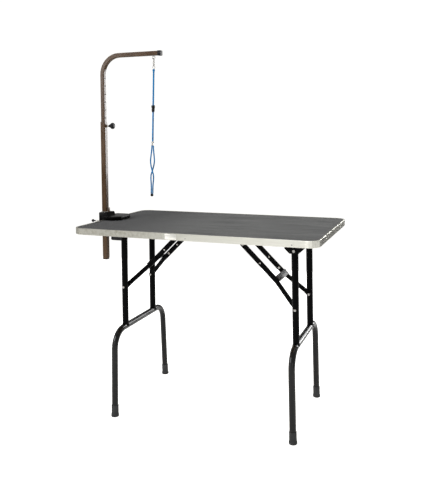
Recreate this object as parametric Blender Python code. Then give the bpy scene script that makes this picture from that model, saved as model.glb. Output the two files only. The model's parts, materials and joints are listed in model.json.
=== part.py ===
"""Folding pet grooming table with a clamp-on grooming arm and a noose leash.

Units are metres and +Z is up. The table stands on the floor, z = 0. Lengths along the
table are X, across it Y. Every position below is in the table's own frame, whose origin
is on the floor under the middle of the top; FRAME_SHIFT_X then centres the whole object,
arm included, on X = 0.
"""

import math

import bmesh
import bpy
from mathutils import Matrix, Vector

# ---------------------------------------------------------------- driving dimensions
GAP = 0.0003                    # clearance left between touching pieces

TABLE_LENGTH = 0.955
TABLE_WIDTH = 0.608
TABLE_TOP_Z = 0.7605            # top of the trim's lip
CORNER_RADIUS = 0.045

TRIM_HEIGHT = 0.0245
TRIM_WALL = 0.0012
TRIM_TOP_LIP = 0.006
TRIM_BOTTOM_LIP = 0.009
TRIM_EDGE_CHAMFER = 0.0008
JOINT_PLATE_X = -0.058
JOINT_PLATE_LENGTH = 0.046
JOINT_PLATE_HEIGHT = 0.0205
JOINT_PLATE_THICKNESS = 0.0010

MAT_THICKNESS = 0.003
BOARD_THICKNESS = 0.018

SIDES = {
    # side of the table: sign of X, pivot X, pivot height, outward lean of the leg, and how
    # far from the middle the lower tube turns down and stands on the floor in each row
    "left": {"sign": -1, "pivot_x": -0.346, "pivot_z": 0.7195, "lean": 0.0,
             "corner_y": {"near": 0.2145, "far": 0.2230},
             "foot_y": {"near": 0.2225, "far": 0.2475}},
    "right": {"sign": 1, "pivot_x": 0.357, "pivot_z": 0.6925, "lean": math.radians(1.08),
              "corner_y": {"near": 0.2015, "far": 0.2225},
              "foot_y": {"near": 0.1955, "far": 0.2360}},
}
ROWS = {"near": -1, "far": 1}   # row of the frame: sign of Y

UPRIGHT_RADIUS = 0.0127
UPRIGHT_WALL = 0.0014
UPRIGHT_Y = 0.125
UPRIGHT_TOP = 0.0075            # how far an upright rises above its pivot

LOWER_TUBE_RADIUS = 0.0125
LOWER_TUBE_WALL = 0.0014
LOWER_TUBE_TOP_Z = 0.337        # height of the cross run's axis above the floor
LOWER_TUBE_BEND = 0.070

FOOT_RADIUS = 0.0142
FOOT_BASE_RADIUS = 0.0155
FOOT_HEIGHT = 0.046
FOOT_FLOOR = 0.006

BRACKET_HALF_LENGTH = 0.036
BRACKET_TIP_HALF_LENGTH = 0.0165
BRACKET_TIP_BELOW_PIVOT = 0.0100
BRACKET_TAPER_ABOVE_PIVOT = 0.0075
BRACKET_CHEEK_INSIDE = 0.0142   # inner face of a cheek, from the upright's axis
BRACKET_SHEET = 0.0025
BRACKET_FLANGE_HALF_WIDTH = 0.030

PIVOT_BOLT_RADIUS = 0.004
PIVOT_BOLT_HEAD_RADIUS = 0.0059
PIVOT_BOLT_HEAD = 0.0045
PIVOT_BOLT_NUT = 0.0055

STAY_REACH = 0.2195             # leg pivot to either end of a folding stay
STAY_SHEET = 0.003
UPPER_STAY_HALF_WIDTH = 0.010
UPPER_STAY_Y = 0.064
UPPER_STAY_TAIL = 0.0305        # from the knuckle to the tie plate
LOWER_STAY_HALF_WIDTH = 0.009
LOWER_STAY_KNUCKLE_Y = 0.0677
LOWER_STAY_LEG_Y = 0.1085
LOWER_STAY_LEG_PAD = 0.022
LOWER_STAY_STRAIGHT = 0.036
RIVET_HEAD_RADIUS = 0.0055
RIVET_HEAD = 0.0022
TIE_PLATE_HALF_WIDTH = 0.0125
TIE_PLATE_HALF_SPAN = 0.0715
TIE_PLATE_THICKNESS = 0.002

ANCHOR_HALF_LENGTH = 0.022
ANCHOR_CHEEK_Y = 0.06045        # middle of an anchor's cheek
ROD_RADIUS = 0.003
ROD_HEAD_RADIUS = 0.0055
ROD_HEAD = 0.002
BORE_CLEARANCE = 0.0003

STAY_BOLT_RADIUS = 0.003
STAY_BOLT_HEAD_RADIUS = 0.0049
STAY_BOLT_HEAD = 0.0030
STAY_BOLT_NUT = 0.0040

# grooming arm
ARM_X = -0.4995
ARM_Y = -0.010
POST_SIZE = 0.022
POST_WALL = 0.0015
POST_BOTTOM_Z = 0.585
POST_TOP_Z = 1.172
TUBE_CORNER_RADIUS = 0.0025
PLUG_FLANGE = 0.003
PLUG_SPIGOT = 0.0184
PLUG_DEPTH = 0.014

ARM_SIZE = 0.018
ARM_WALL = 0.0012
ARM_BOTTOM_Z = 0.955
ARM_AXIS_Z = 1.448
ARM_BEND = 0.078
ARM_REACH = 0.2710
HEIGHT_HOLE_RADIUS = 0.0035
HEIGHT_HOLE_PITCH = 0.0335
HEIGHT_HOLES_BELOW = 3
HEIGHT_HOLES_ABOVE = 6
END_CAP_SIZE = 0.0206
END_CAP_LENGTH = 0.014
END_CAP_WALL = 0.001

KNOB_Z = 1.1545
BOSS_RADIUS = 0.0066
BOSS_END = 0.0165
KNOB_STEM_RADIUS = 0.0036
KNOB_RADIUS = 0.0135

# clamp
CLAMP_WEB_OUTER_X = -0.514
CLAMP_WEB_INNER_X = -0.4788
CLAMP_HALF_WIDTH = 0.029
CLAMP_BOTTOM_Z = 0.7005
CLAMP_TOP_Z = 0.788
JAW_BOTTOM_Z = TABLE_TOP_Z + GAP
JAW_THICKNESS = 0.0140
JAW_ROOT_HALF_WIDTH = 0.064
JAW_TIP_HALF_WIDTH = 0.040
JAW_TIP_X = -0.402
LOWER_JAW_THICKNESS = 0.012
LOWER_JAW_HALF_WIDTH = 0.018
LOWER_JAW_TIP_X = -0.412
POST_SLEEVE_CLEARANCE = 0.0004

SCREW_X = -0.434
SCREW_RADIUS = 0.005
SCREW_TOP_Z = 0.7335
SCREW_BOTTOM_Z = 0.6835
PAD_RADIUS = 0.013
PAD_HEIGHT = 0.0070
PAD_SOCKET_DEPTH = 0.0035
WING_HALF_LENGTH = 0.0366
WING_HEIGHT = 0.016
WING_THICKNESS = 0.0125

LOCK_SCREW_Z = 0.7463
LOCK_SCREW_RADIUS = 0.003
LOCK_BALL_RADIUS = 0.0065
LOCK_BALL_X = -0.562

# leash
LEASH_X = -0.2605
LEASH_LEAN = math.radians(1.65)
EYE_RING_RADIUS = 0.006
EYE_WIRE = 0.0014
EYE_Z = 1.4305
HOOK_RING_RADIUS = 0.0055
HOOK_WIRE = 0.0013
SNAP_BODY_RADIUS = 0.0042
SWIVEL_BALL_Z = 1.4005
SWIVEL_STEM_RADIUS = 0.0015
SWIVEL_BORE_DEPTH = 0.004
SWIVEL_RING_Z = 1.3910
KNOT_TOP_Z = 1.3836
KNOT_BOTTOM_Z = 1.3745
LINE_RADIUS = 0.0037
LOCK_TOP_Z = 1.237
LOCK_BOTTOM_Z = 1.209
CRIMP_TOP_Z = 1.088
CRIMP_BOTTOM_Z = 1.072
NOOSE_RADIUS = 0.0029
NOOSE_END_BALL_Z = 0.866
NOOSE_END_BALL_RADIUS = 0.0063

# ---------------------------------------------------------------- derived places
BOARD_INSET = TRIM_WALL + GAP
LIP_UNDERSIDE_Z = TABLE_TOP_Z - TRIM_WALL
MAT_TOP_Z = LIP_UNDERSIDE_Z - GAP
BOARD_TOP_Z = MAT_TOP_Z - MAT_THICKNESS - GAP
BOARD_BOTTOM_Z = BOARD_TOP_Z - BOARD_THICKNESS
TRIM_BOTTOM_Z = TABLE_TOP_Z - TRIM_HEIGHT
FITTING_TOP_Z = BOARD_BOTTOM_Z - GAP
FITTING_SHEET_Z = FITTING_TOP_Z - BRACKET_SHEET

SNAP_BOTTOM_Z = SWIVEL_BALL_Z + 0.0048

OBJECT_MIN_X = LOCK_BALL_X - LOCK_BALL_RADIUS
OBJECT_MAX_X = TABLE_LENGTH / 2
FRAME_SHIFT_X = -(OBJECT_MIN_X + OBJECT_MAX_X) / 2

ROUND_SEGMENTS = 24
SMALL_SEGMENTS = 14

# ---------------------------------------------------------------- materials
PALETTE = {
    # name: colour, roughness, metallic
    "black_powder_coat": ((0.012, 0.012, 0.013), 0.35, 0.0),
    "brown_powder_coat": ((0.075, 0.046, 0.028), 0.38, 0.3),
    "aluminium": ((0.72, 0.71, 0.67), 0.32, 1.0),
    "zinc": ((0.70, 0.70, 0.68), 0.30, 1.0),
    "rubber_mat": ((0.10, 0.10, 0.10), 0.75, 0.0),
    "wood": ((0.46, 0.33, 0.20), 0.60, 0.0),
    "black_rubber": ((0.015, 0.015, 0.015), 0.70, 0.0),
    "black_plastic": ((0.012, 0.012, 0.012), 0.28, 0.0),
    "blue_cord": ((0.03, 0.26, 0.52), 0.60, 0.0),
}


def material(name):
    """The named material, made on first use."""
    found = bpy.data.materials.get(name)
    if found:
        return found
    colour, roughness, metallic = PALETTE[name]
    made = bpy.data.materials.new(name)
    made.use_nodes = True
    shader = made.node_tree.nodes["Principled BSDF"]
    shader.inputs["Base Color"].default_value = (*colour, 1.0)
    shader.inputs["Roughness"].default_value = roughness
    shader.inputs["Metallic"].default_value = metallic
    return made


# ---------------------------------------------------------------- outlines and paths
def rounded(points, radius, steps=4):
    """A closed 2-D outline with each corner replaced by an arc of the given radius."""
    out = []
    count = len(points)
    for i, corner in enumerate(points):
        corner = Vector(corner)
        before = (Vector(points[i - 1]) - corner).normalized()
        after = (Vector(points[(i + 1) % count]) - corner).normalized()
        half_angle = before.angle(after) / 2
        setback = radius / math.tan(half_angle)
        centre = corner + (before + after).normalized() * (radius / math.sin(half_angle))
        start = corner + before * setback - centre
        end = corner + after * setback - centre
        turn = math.atan2(start.x * end.y - start.y * end.x, start.dot(end))
        for step in range(steps + 1):
            out.append(centre + Matrix.Rotation(turn * step / steps, 2) @ start)
    return out


def filleted(points, radius, steps=8):
    """An open 3-D path through the points, with each inner corner turned into an arc."""
    path = [Vector(points[0])]
    for i in range(1, len(points) - 1):
        corner = Vector(points[i])
        before = (Vector(points[i - 1]) - corner).normalized()
        after = (Vector(points[i + 1]) - corner).normalized()
        half_angle = before.angle(after) / 2
        setback = radius / math.tan(half_angle)
        centre = corner + (before + after).normalized() * (radius / math.sin(half_angle))
        start = corner + before * setback - centre
        end = corner + after * setback - centre
        axis = start.cross(end).normalized()
        sweep = math.pi - 2 * half_angle
        for step in range(steps + 1):
            path.append(centre + Matrix.Rotation(sweep * step / steps, 3, axis) @ start)
    path.append(Vector(points[-1]))
    return path


def circle(radius, segments):
    """A circle's points, with a flat side square to each axis."""
    turn = 2 * math.pi / segments
    return [Vector((radius * math.cos(turn * (i + 0.5)), radius * math.sin(turn * (i + 0.5))))
            for i in range(segments)]


def square(size, corner, steps=3):
    """A square tube's outline, its corners rounded."""
    half = size / 2
    return rounded([(-half, -half), (half, -half), (half, half), (-half, half)], corner, steps)


# ---------------------------------------------------------------- meshes
def finish_mesh(bm, name, sharp_angle=math.radians(38)):
    """Turns a closed bmesh into a mesh with outward faces, smooth where it is round."""
    bmesh.ops.remove_doubles(bm, verts=bm.verts, dist=1e-7)
    bmesh.ops.recalc_face_normals(bm, faces=bm.faces)
    mesh = bpy.data.meshes.new(name)
    bm.to_mesh(mesh)
    bm.free()
    mesh.shade_smooth()
    mesh.set_sharp_from_angle(angle=sharp_angle)
    return mesh


def loft(rings, name, cyclic=False):
    """A closed solid through rings of equal length. A cyclic loft joins its last ring to
    its first, as a hollow tube does; an open one is capped at both ends."""
    bm = bmesh.new()
    loops = [[bm.verts.new(point) for point in ring] for ring in rings]
    count = len(loops[0])
    pairs = len(loops) if cyclic else len(loops) - 1
    for i in range(pairs):
        this, following = loops[i], loops[(i + 1) % len(loops)]
        for j in range(count):
            after = (j + 1) % count
            bm.faces.new((this[j], this[after], following[after], following[j]))
    if not cyclic:
        bm.faces.new(loops[0])
        bm.faces.new(loops[-1])
    return finish_mesh(bm, name)


AXIS_FRAMES = {
    # direction a profile points in: rotation that brings +Z there
    "Z": Matrix.Identity(3),
    "X": Matrix(((0, 0, 1), (0, 1, 0), (-1, 0, 0))),
    "Y": Matrix(((1, 0, 0), (0, 0, 1), (0, -1, 0))),
}


def turned(profile, name, axis="Z", centre=(0, 0, 0), segments=ROUND_SEGMENTS, hollow=False):
    """A solid of revolution. The profile lists (radius, height) points. A hollow one is a
    closed loop of points, its bore included; a full one runs from end to end."""
    turn = AXIS_FRAMES[axis]
    rings = []
    for radius, height in profile:
        ring = [Vector((point.x, point.y, height)) for point in circle(radius, segments)]
        rings.append([turn @ point + Vector(centre) for point in ring])
    return loft(rings, name, cyclic=hollow)


def prism(outline, low, high, name, normal="Z"):
    """An outline extruded from low to high. The outline's axes are X, Y for a prism along
    Z, X, Z along Y, and Y, Z along X."""
    def place(point, height):
        first, second = point
        return {"Z": (first, second, height), "Y": (first, height, second),
                "X": (height, first, second)}[normal]
    return loft([[Vector(place(p, low)) for p in outline],
                 [Vector(place(p, high)) for p in outline]], name)


def swept(path, sections, name, side=Vector((0, 1, 0))):
    """A tube swept along a path. One section makes a solid bar, two (outer, inner) make a
    hollow tube with open ends. The sections' first axis stays along the given side."""
    frames = []
    for i, point in enumerate(path):
        before = path[max(i - 1, 0)]
        after = path[min(i + 1, len(path) - 1)]
        into = (point - before).normalized() if i > 0 else (after - point).normalized()
        out = (after - point).normalized() if i < len(path) - 1 else into
        along = (into + out).normalized()
        across = (side - along * side.dot(along)).normalized()
        third = along.cross(across)
        stretch = 1 / max(along.dot(out), 0.5)
        frames.append((point, across, third, stretch))
    rings = [[point + across * s.x + third * s.y * stretch for s in sections[0]]
             for point, across, third, stretch in frames]
    if len(sections) == 1:
        return loft(rings, name)
    inner = [[point + across * s.x + third * s.y * stretch for s in sections[1]]
             for point, across, third, stretch in reversed(frames)]
    return loft(rings + inner, name, cyclic=True)


def ring_mesh(radius, wire, name, centre, plane="XZ", segments=20, wire_segments=10):
    """A round wire ring lying in the given plane."""
    rings = []
    for i in range(segments):
        turn = 2 * math.pi * i / segments
        outward = Vector((math.cos(turn), 0, math.sin(turn)))
        across = Vector((0, 1, 0))
        if plane == "YZ":
            outward = Vector((0, math.cos(turn), math.sin(turn)))
            across = Vector((1, 0, 0))
        middle = Vector(centre) + outward * radius
        rings.append([middle + outward * p.x + across * p.y for p in circle(wire, wire_segments)])
    return loft(rings, name, cyclic=True)


def combined(base, tools, operation, name):
    """The base mesh after a Boolean with each tool mesh in turn."""
    working = bpy.data.objects.new(name, base)
    bpy.context.scene.collection.objects.link(working)
    helpers = []
    for tool in tools:
        helper = bpy.data.objects.new(name + "_tool", tool)
        bpy.context.scene.collection.objects.link(helper)
        helpers.append(helper)
        modifier = working.modifiers.new("boolean", "BOOLEAN")
        modifier.operation = operation
        modifier.object = helper
    bpy.context.view_layer.update()
    graph = bpy.context.evaluated_depsgraph_get()
    mesh = bpy.data.meshes.new_from_object(working.evaluated_get(graph))
    for item in helpers + [working]:
        bpy.data.objects.remove(item)
    bm = bmesh.new()
    bm.from_mesh(mesh)
    bmesh.ops.dissolve_degenerate(bm, edges=bm.edges, dist=1e-6)
    return finish_mesh(bm, name)


def joined(base, tools, name):
    return combined(base, tools, "UNION", name)


def cut(base, tools, name):
    return combined(base, tools, "DIFFERENCE", name)


def bore(radius, low, high, axis, centre=(0, 0, 0), segments=SMALL_SEGMENTS):
    """A cylinder used as a drill, from low to high along the axis."""
    return turned([(radius, low), (radius, high)], "bore", axis, centre, segments)


# ---------------------------------------------------------------- scene tree
WORLD = {}


def frame(name, parent, origin, turn=0.0):
    """An empty on a joint's axis, at the origin given in the table's frame and turned
    about Y. Pieces built in its local coordinates hang from it."""
    holder = bpy.data.objects.new(name, None)
    holder.empty_display_size = 0.03
    bpy.context.scene.collection.objects.link(holder)
    place = Matrix.Translation(Vector(origin) + Vector((FRAME_SHIFT_X, 0, 0)))
    place = place @ Matrix.Rotation(turn, 4, "Y")
    WORLD[name] = place
    if parent:
        holder.parent = bpy.data.objects[parent]
        holder.matrix_parent_inverse = WORLD[parent].inverted()
    holder.matrix_basis = place
    return holder


def piece(name, mesh, look, parent, spot=(0, 0, 0), half_turn=False):
    """A named sub-part in its parent frame's coordinates."""
    obj = bpy.data.objects.new(name, mesh)
    bpy.context.scene.collection.objects.link(obj)
    if not mesh.materials:
        mesh.materials.append(material(look))
    obj.parent = bpy.data.objects[parent]
    obj.location = spot
    obj.rotation_euler = (0, 0, math.pi if half_turn else 0)
    return obj


# ---------------------------------------------------------------- table top
def top_outline(inset):
    """The table top's rounded rectangle, moved inwards by the inset."""
    x = TABLE_LENGTH / 2 - inset
    y = TABLE_WIDTH / 2 - inset
    return rounded([(-x, -y), (x, -y), (x, y), (-x, y)], CORNER_RADIUS - inset, 6)


def make_top():
    outline = top_outline(BOARD_INSET)
    board = prism(outline, BOARD_BOTTOM_Z, BOARD_TOP_Z, "tabletop_board")
    piece("tabletop_board", board, "wood", "table")
    mat = prism(outline, MAT_TOP_Z - MAT_THICKNESS, MAT_TOP_Z, "rubber_mat")
    piece("rubber_mat", mat, "rubber_mat", "table")

    top, bottom, wall = TABLE_TOP_Z, TRIM_BOTTOM_Z, TRIM_WALL
    chamfer = TRIM_EDGE_CHAMFER
    section = [
        (0, bottom + chamfer), (0, top - chamfer), (chamfer, top), (TRIM_TOP_LIP, top),
        (TRIM_TOP_LIP, top - wall), (wall, top - wall), (wall, bottom + wall),
        (TRIM_BOTTOM_LIP, bottom + wall), (TRIM_BOTTOM_LIP, bottom), (chamfer, bottom),
    ]
    # one ring per section point, each the top's outline at that inset and height
    rings = [[Vector((p.x, p.y, z)) for p in top_outline(inset)] for inset, z in section]
    piece("edge_trim", loft(rings, "edge_trim", cyclic=True), "aluminium", "table")

    middle = (top + bottom) / 2
    half_x, half_z = JOINT_PLATE_LENGTH / 2, JOINT_PLATE_HEIGHT / 2
    corners = [(JOINT_PLATE_X - half_x, middle - half_z), (JOINT_PLATE_X + half_x, middle - half_z),
               (JOINT_PLATE_X + half_x, middle + half_z), (JOINT_PLATE_X - half_x, middle + half_z)]
    front = -TABLE_WIDTH / 2 - GAP
    plate = prism(rounded(corners, 0.002, 3), front - JOINT_PLATE_THICKNESS, front,
                  "trim_joint_plate", "Y")
    piece("trim_joint_plate", plate, "aluminium", "table")


# ---------------------------------------------------------------- folding legs
def bracket_mesh(pivot_z):
    """An inverted channel whose cheeks taper down to the pivot, base flange on top.
    Local origin: on the pivot axis, above the upright's axis line."""
    top = FITTING_TOP_Z - pivot_z
    sheet = FITTING_SHEET_Z - pivot_z
    flange = [(-BRACKET_HALF_LENGTH, -BRACKET_FLANGE_HALF_WIDTH),
              (BRACKET_HALF_LENGTH, -BRACKET_FLANGE_HALF_WIDTH),
              (BRACKET_HALF_LENGTH, BRACKET_FLANGE_HALF_WIDTH),
              (-BRACKET_HALF_LENGTH, BRACKET_FLANGE_HALF_WIDTH)]
    base = prism(rounded(flange, 0.005, 3), sheet, top, "flange")
    wide, tip = BRACKET_HALF_LENGTH - 0.001, BRACKET_TIP_HALF_LENGTH
    low = -BRACKET_TIP_BELOW_PIVOT
    overlap = BRACKET_SHEET / 2
    cheek = [(-wide, sheet + overlap), (-wide, BRACKET_TAPER_ABOVE_PIVOT), (-tip, low),
             (tip, low), (wide, BRACKET_TAPER_ABOVE_PIVOT), (wide, sheet + overlap)]
    inside, outside = BRACKET_CHEEK_INSIDE, BRACKET_CHEEK_INSIDE + BRACKET_SHEET
    cheeks = [prism(cheek, low_y, high_y, "cheek", "Y")
              for low_y, high_y in ((-outside, -inside), (inside, outside))]
    solid = joined(base, cheeks, "bracket")
    drill = bore(PIVOT_BOLT_RADIUS + BORE_CLEARANCE, -outside - 0.002, outside + 0.002, "Y")
    return cut(solid, [drill], "bracket")


def bolt_mesh(name, shank, head_start, head, head_radius, nut_start, nut, nut_radius, domed):
    """A bolt along Y: head towards -Y, nut towards +Y, both beyond the shank's run."""
    head_outer = head_start - head
    if domed:
        head_profile = [(head_radius, head_start), (head_radius, head_start - head * 0.35),
                        (head_radius * 0.82, head_start - head * 0.78),
                        (head_radius * 0.40, head_outer)]
        head_mesh = turned([(r, -y) for r, y in head_profile], "head", "Y", segments=16)
        head_mesh.transform(Matrix.Scale(-1, 4, (0, 1, 0)))
        head_mesh.flip_normals()
    else:
        edge = head_radius * 0.9
        head_mesh = turned([(edge, head_outer), (head_radius, head_outer + head * 0.2),
                            (head_radius, head_start)], "head", "Y", segments=6)
    nut_mesh = turned([(nut_radius, nut_start), (nut_radius, nut_start + nut)],
                      "nut", "Y", segments=6)
    shank_mesh = bore(shank, head_start - head / 2, nut_start + nut + 0.001, "Y")
    return joined(shank_mesh, [head_mesh, nut_mesh], name)


def upright_mesh(pivot_z, lean):
    """A round tube from above the pivot down to the lower tube, coped to sit on it."""
    cross_z = LOWER_TUBE_TOP_Z / math.cos(lean) - pivot_z / math.cos(lean)
    sections = [circle(UPRIGHT_RADIUS, ROUND_SEGMENTS),
                circle(UPRIGHT_RADIUS - UPRIGHT_WALL, ROUND_SEGMENTS)]
    tube = swept([Vector((0, 0, cross_z)), Vector((0, 0, UPRIGHT_TOP))], sections, "upright")
    saddle = bore(LOWER_TUBE_RADIUS + GAP, -0.03, 0.03, "Y", (0, 0, cross_z), ROUND_SEGMENTS)
    reach = UPRIGHT_RADIUS + 0.004
    pivot = bore(PIVOT_BOLT_RADIUS + BORE_CLEARANCE, -reach, reach, "Y")
    stay = bore(STAY_BOLT_RADIUS + BORE_CLEARANCE, -reach, reach, "Y", (0, 0, -STAY_REACH))
    return cut(tube, [saddle, pivot, stay], "upright")


def foot_splay(side, row):
    """How far one leg of a lower tube turns outwards between its bend and the floor."""
    drop = LOWER_TUBE_TOP_Z / math.cos(side["lean"])
    return math.atan2(side["foot_y"][row] - side["corner_y"][row], drop)


def lower_tube_path(side):
    """The inverted U from foot to foot, in the leg's frame, with the run across at
    LOWER_TUBE_TOP_Z."""
    scale = 1 / math.cos(side["lean"])
    floor = -side["pivot_z"] * scale
    top = floor + LOWER_TUBE_TOP_Z * scale
    rise = (FOOT_FLOOR + GAP) * scale
    ends, bends = {}, {}
    for row, row_sign in ROWS.items():
        end_y = side["foot_y"][row] - rise * math.tan(foot_splay(side, row))
        ends[row] = (0, row_sign * end_y, floor + rise)
        bends[row] = (0, row_sign * side["corner_y"][row], top)
    corners = [ends["near"], bends["near"], bends["far"], ends["far"]]
    return filleted(corners, LOWER_TUBE_BEND, 7)


def foot_mesh(side, row):
    """A rubber tip over the tube's end, its axis along the splayed tube and its sole cut
    flat along the floor."""
    lean = side["lean"]
    profile = [
        (FOOT_BASE_RADIUS * 0.88, -0.002), (FOOT_BASE_RADIUS, 0.0012),
        (FOOT_BASE_RADIUS, 0.0090), (FOOT_RADIUS, 0.0120), (FOOT_RADIUS, FOOT_HEIGHT - 0.001),
        (FOOT_RADIUS - 0.0006, FOOT_HEIGHT), (LOWER_TUBE_RADIUS + GAP, FOOT_HEIGHT),
        (LOWER_TUBE_RADIUS + GAP, FOOT_FLOOR),
    ]
    mesh = turned(profile, "foot")
    floor = -side["pivot_z"] / math.cos(lean)
    sole = Vector((0, ROWS[row] * side["foot_y"][row], floor))
    splay = Matrix.Rotation(ROWS[row] * foot_splay(side, row), 4, "X")
    mesh.transform(Matrix.Translation(sole) @ splay)
    bm = bmesh.new()
    bm.from_mesh(mesh)
    up = Vector((side["sign"] * math.sin(lean), 0, math.cos(lean)))
    whole = bm.verts[:] + bm.edges[:] + bm.faces[:]
    bmesh.ops.bisect_plane(bm, geom=whole, plane_co=sole, plane_no=up, clear_inner=True)
    rim = [edge for edge in bm.edges if edge.is_boundary]
    bmesh.ops.edgeloop_fill(bm, edges=rim)
    return finish_mesh(bm, "foot")


def bar_mesh(length, half_width, centre_y, name, drill_radius, drills):
    """A flat bar on edge, from u = 0 to length along X with round ends. Its middle plane
    follows centre_y(u); holes go through at the given u."""
    ends = 6
    columns = []
    for i in range(1, ends + 1):
        turn = math.pi / 2 * i / ends
        columns.append((-half_width * math.cos(turn), half_width * math.sin(turn)))
    columns[0] = (-half_width * 0.985, half_width * 0.17)
    columns += [(u, half_width) for u in centre_y["bends"]]
    for i in range(ends, 0, -1):
        turn = math.pi / 2 * i / ends
        columns.append((length + half_width * math.cos(turn), half_width * math.sin(turn)))
    columns[-1] = (length + half_width * 0.985, half_width * 0.17)
    rings = []
    for u, height in columns:
        middle = centre_y["at"](u)
        low, high = middle - STAY_SHEET / 2, middle + STAY_SHEET / 2
        rings.append([Vector((u, low, -height)), Vector((u, high, -height)),
                      Vector((u, high, height)), Vector((u, low, height))])
    tools = [bore(drill_radius, centre_y["at"](u) - 0.006, centre_y["at"](u) + 0.006, "Y",
                  (u, 0, 0)) for u in drills]
    return cut(loft(rings, name), tools, name)


def stay_geometry(side):
    """Where a side's folding stay hinges: its anchor, its knuckle and its bolt on the leg,
    in the table's frame. The anchor and the bolt are both STAY_REACH from the leg's
    pivot, so the two halves are equal and lie on each other when the leg is folded."""
    sign, lean = side["sign"], side["lean"]
    pivot = Vector((side["pivot_x"], 0, side["pivot_z"]))
    anchor = pivot - Vector((sign * STAY_REACH, 0, 0))
    bolt = pivot + STAY_REACH * Vector((sign * math.sin(lean), 0, -math.cos(lean)))
    return anchor, (anchor + bolt) / 2, bolt


def pointing(direction):
    """The turn about Y that brings +X to a direction in the XZ plane."""
    return math.atan2(-direction.z, direction.x)


def make_leg(label, side):
    sign, lean = side["sign"], side["lean"]
    pivot = (side["pivot_x"], 0, side["pivot_z"])
    leg, brackets = label + "_leg", label + "_leg_brackets"
    frame(leg, "table", pivot, -sign * lean)
    frame(brackets, "table", pivot)

    outer = BRACKET_CHEEK_INSIDE + BRACKET_SHEET + GAP
    pivot_bolt = bolt_mesh("leg_pivot_bolt", PIVOT_BOLT_RADIUS, -outer, PIVOT_BOLT_HEAD,
                           PIVOT_BOLT_HEAD_RADIUS, outer, PIVOT_BOLT_NUT,
                           PIVOT_BOLT_HEAD_RADIUS, False)
    stay_outer = UPRIGHT_RADIUS + GAP
    stay_inner = UPRIGHT_Y - (LOWER_STAY_LEG_Y - STAY_SHEET / 2 - GAP)
    stay_bolt = bolt_mesh("stay_bolt", STAY_BOLT_RADIUS, -stay_outer, STAY_BOLT_HEAD,
                          STAY_BOLT_HEAD_RADIUS, stay_inner, STAY_BOLT_NUT,
                          STAY_BOLT_HEAD_RADIUS, True)
    bracket = bracket_mesh(side["pivot_z"])
    upright = upright_mesh(side["pivot_z"], lean)
    for row, row_sign in ROWS.items():
        name = f"{label}_{row}_"
        spot = (0, row_sign * UPRIGHT_Y, 0)
        far = row_sign > 0
        piece(name + "leg_bracket", bracket, "black_powder_coat", brackets, spot)
        piece(name + "pivot_bolt", pivot_bolt, "zinc", brackets, spot, far)
        piece(name + "upright", upright, "black_powder_coat", leg, spot)
        low_spot = (0, row_sign * UPRIGHT_Y, -STAY_REACH)
        piece(name + "stay_bolt", stay_bolt, "zinc", leg, low_spot, far)
        piece(name + "rubber_foot", foot_mesh(side, row), "black_rubber", leg)

    sections = [circle(LOWER_TUBE_RADIUS, 20), circle(LOWER_TUBE_RADIUS - LOWER_TUBE_WALL, 20)]
    lower = swept(lower_tube_path(side), sections, "lower_tube", Vector((1, 0, 0)))
    piece(label + "_lower_tube", lower, "black_powder_coat", leg)


def make_stays(label, side):
    sign = side["sign"]
    anchor, knuckle, bolt = stay_geometry(side)
    half = (knuckle - anchor).length
    upper, lower = label + "_upper_stay", label + "_lower_stay"
    frame(upper, "table", anchor, pointing(bolt - anchor))
    frame(lower, label + "_leg", bolt, pointing(anchor - bolt))

    tail = half + UPPER_STAY_TAIL
    drill = ROD_RADIUS + BORE_CLEARANCE
    for row, row_sign in ROWS.items():
        straight = {"bends": [0.0, tail], "at": lambda u: row_sign * UPPER_STAY_Y}
        mesh = bar_mesh(tail, UPPER_STAY_HALF_WIDTH, straight, "upper_stay", drill, [0.0, half])
        piece(f"{label}_{row}_upper_stay", mesh, "black_powder_coat", upper)

        flare = (LOWER_STAY_LEG_PAD, half - LOWER_STAY_STRAIGHT)

        def follow(u):
            share = min(max((u - flare[0]) / (flare[1] - flare[0]), 0), 1)
            return row_sign * (LOWER_STAY_LEG_Y + share * (LOWER_STAY_KNUCKLE_Y - LOWER_STAY_LEG_Y))

        joggled = {"bends": [0.0, flare[0], flare[1], half], "at": follow}
        mesh = bar_mesh(half, LOWER_STAY_HALF_WIDTH, joggled, "lower_stay",
                        STAY_BOLT_RADIUS + BORE_CLEARANCE, [0.0])
        face = LOWER_STAY_KNUCKLE_Y + STAY_SHEET / 2
        head = [(RIVET_HEAD_RADIUS, face - 0.001), (RIVET_HEAD_RADIUS, face + RIVET_HEAD * 0.4),
                (RIVET_HEAD_RADIUS * 0.7, face + RIVET_HEAD)]
        rivet = turned([(r, y) for r, y in head], "rivet", "Y", segments=16)
        if row_sign < 0:
            rivet.transform(Matrix.Scale(-1, 4, (0, 1, 0)))
            rivet.flip_normals()
        rivet.transform(Matrix.Translation((half, 0, 0)))
        piece(f"{label}_{row}_lower_stay", joined(mesh, [rivet], "lower_stay"),
              "black_powder_coat", lower)

    # the plate that ties the two upper halves lies on their edges that face the leg pivot
    near_edge = UPPER_STAY_HALF_WIDTH + GAP
    far_edge = near_edge + TIE_PLATE_THICKNESS
    half_span = TIE_PLATE_HALF_SPAN
    half_width = TIE_PLATE_HALF_WIDTH
    outline = rounded([(tail - half_width, -half_span), (tail + half_width, -half_span),
                       (tail + half_width, half_span), (tail - half_width, half_span)], 0.003, 3)
    low, high = sorted((sign * near_edge, sign * far_edge))
    piece(label + "_stay_tie_plate", prism(outline, low, high, "tie_plate"),
          "black_powder_coat", upper)


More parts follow.
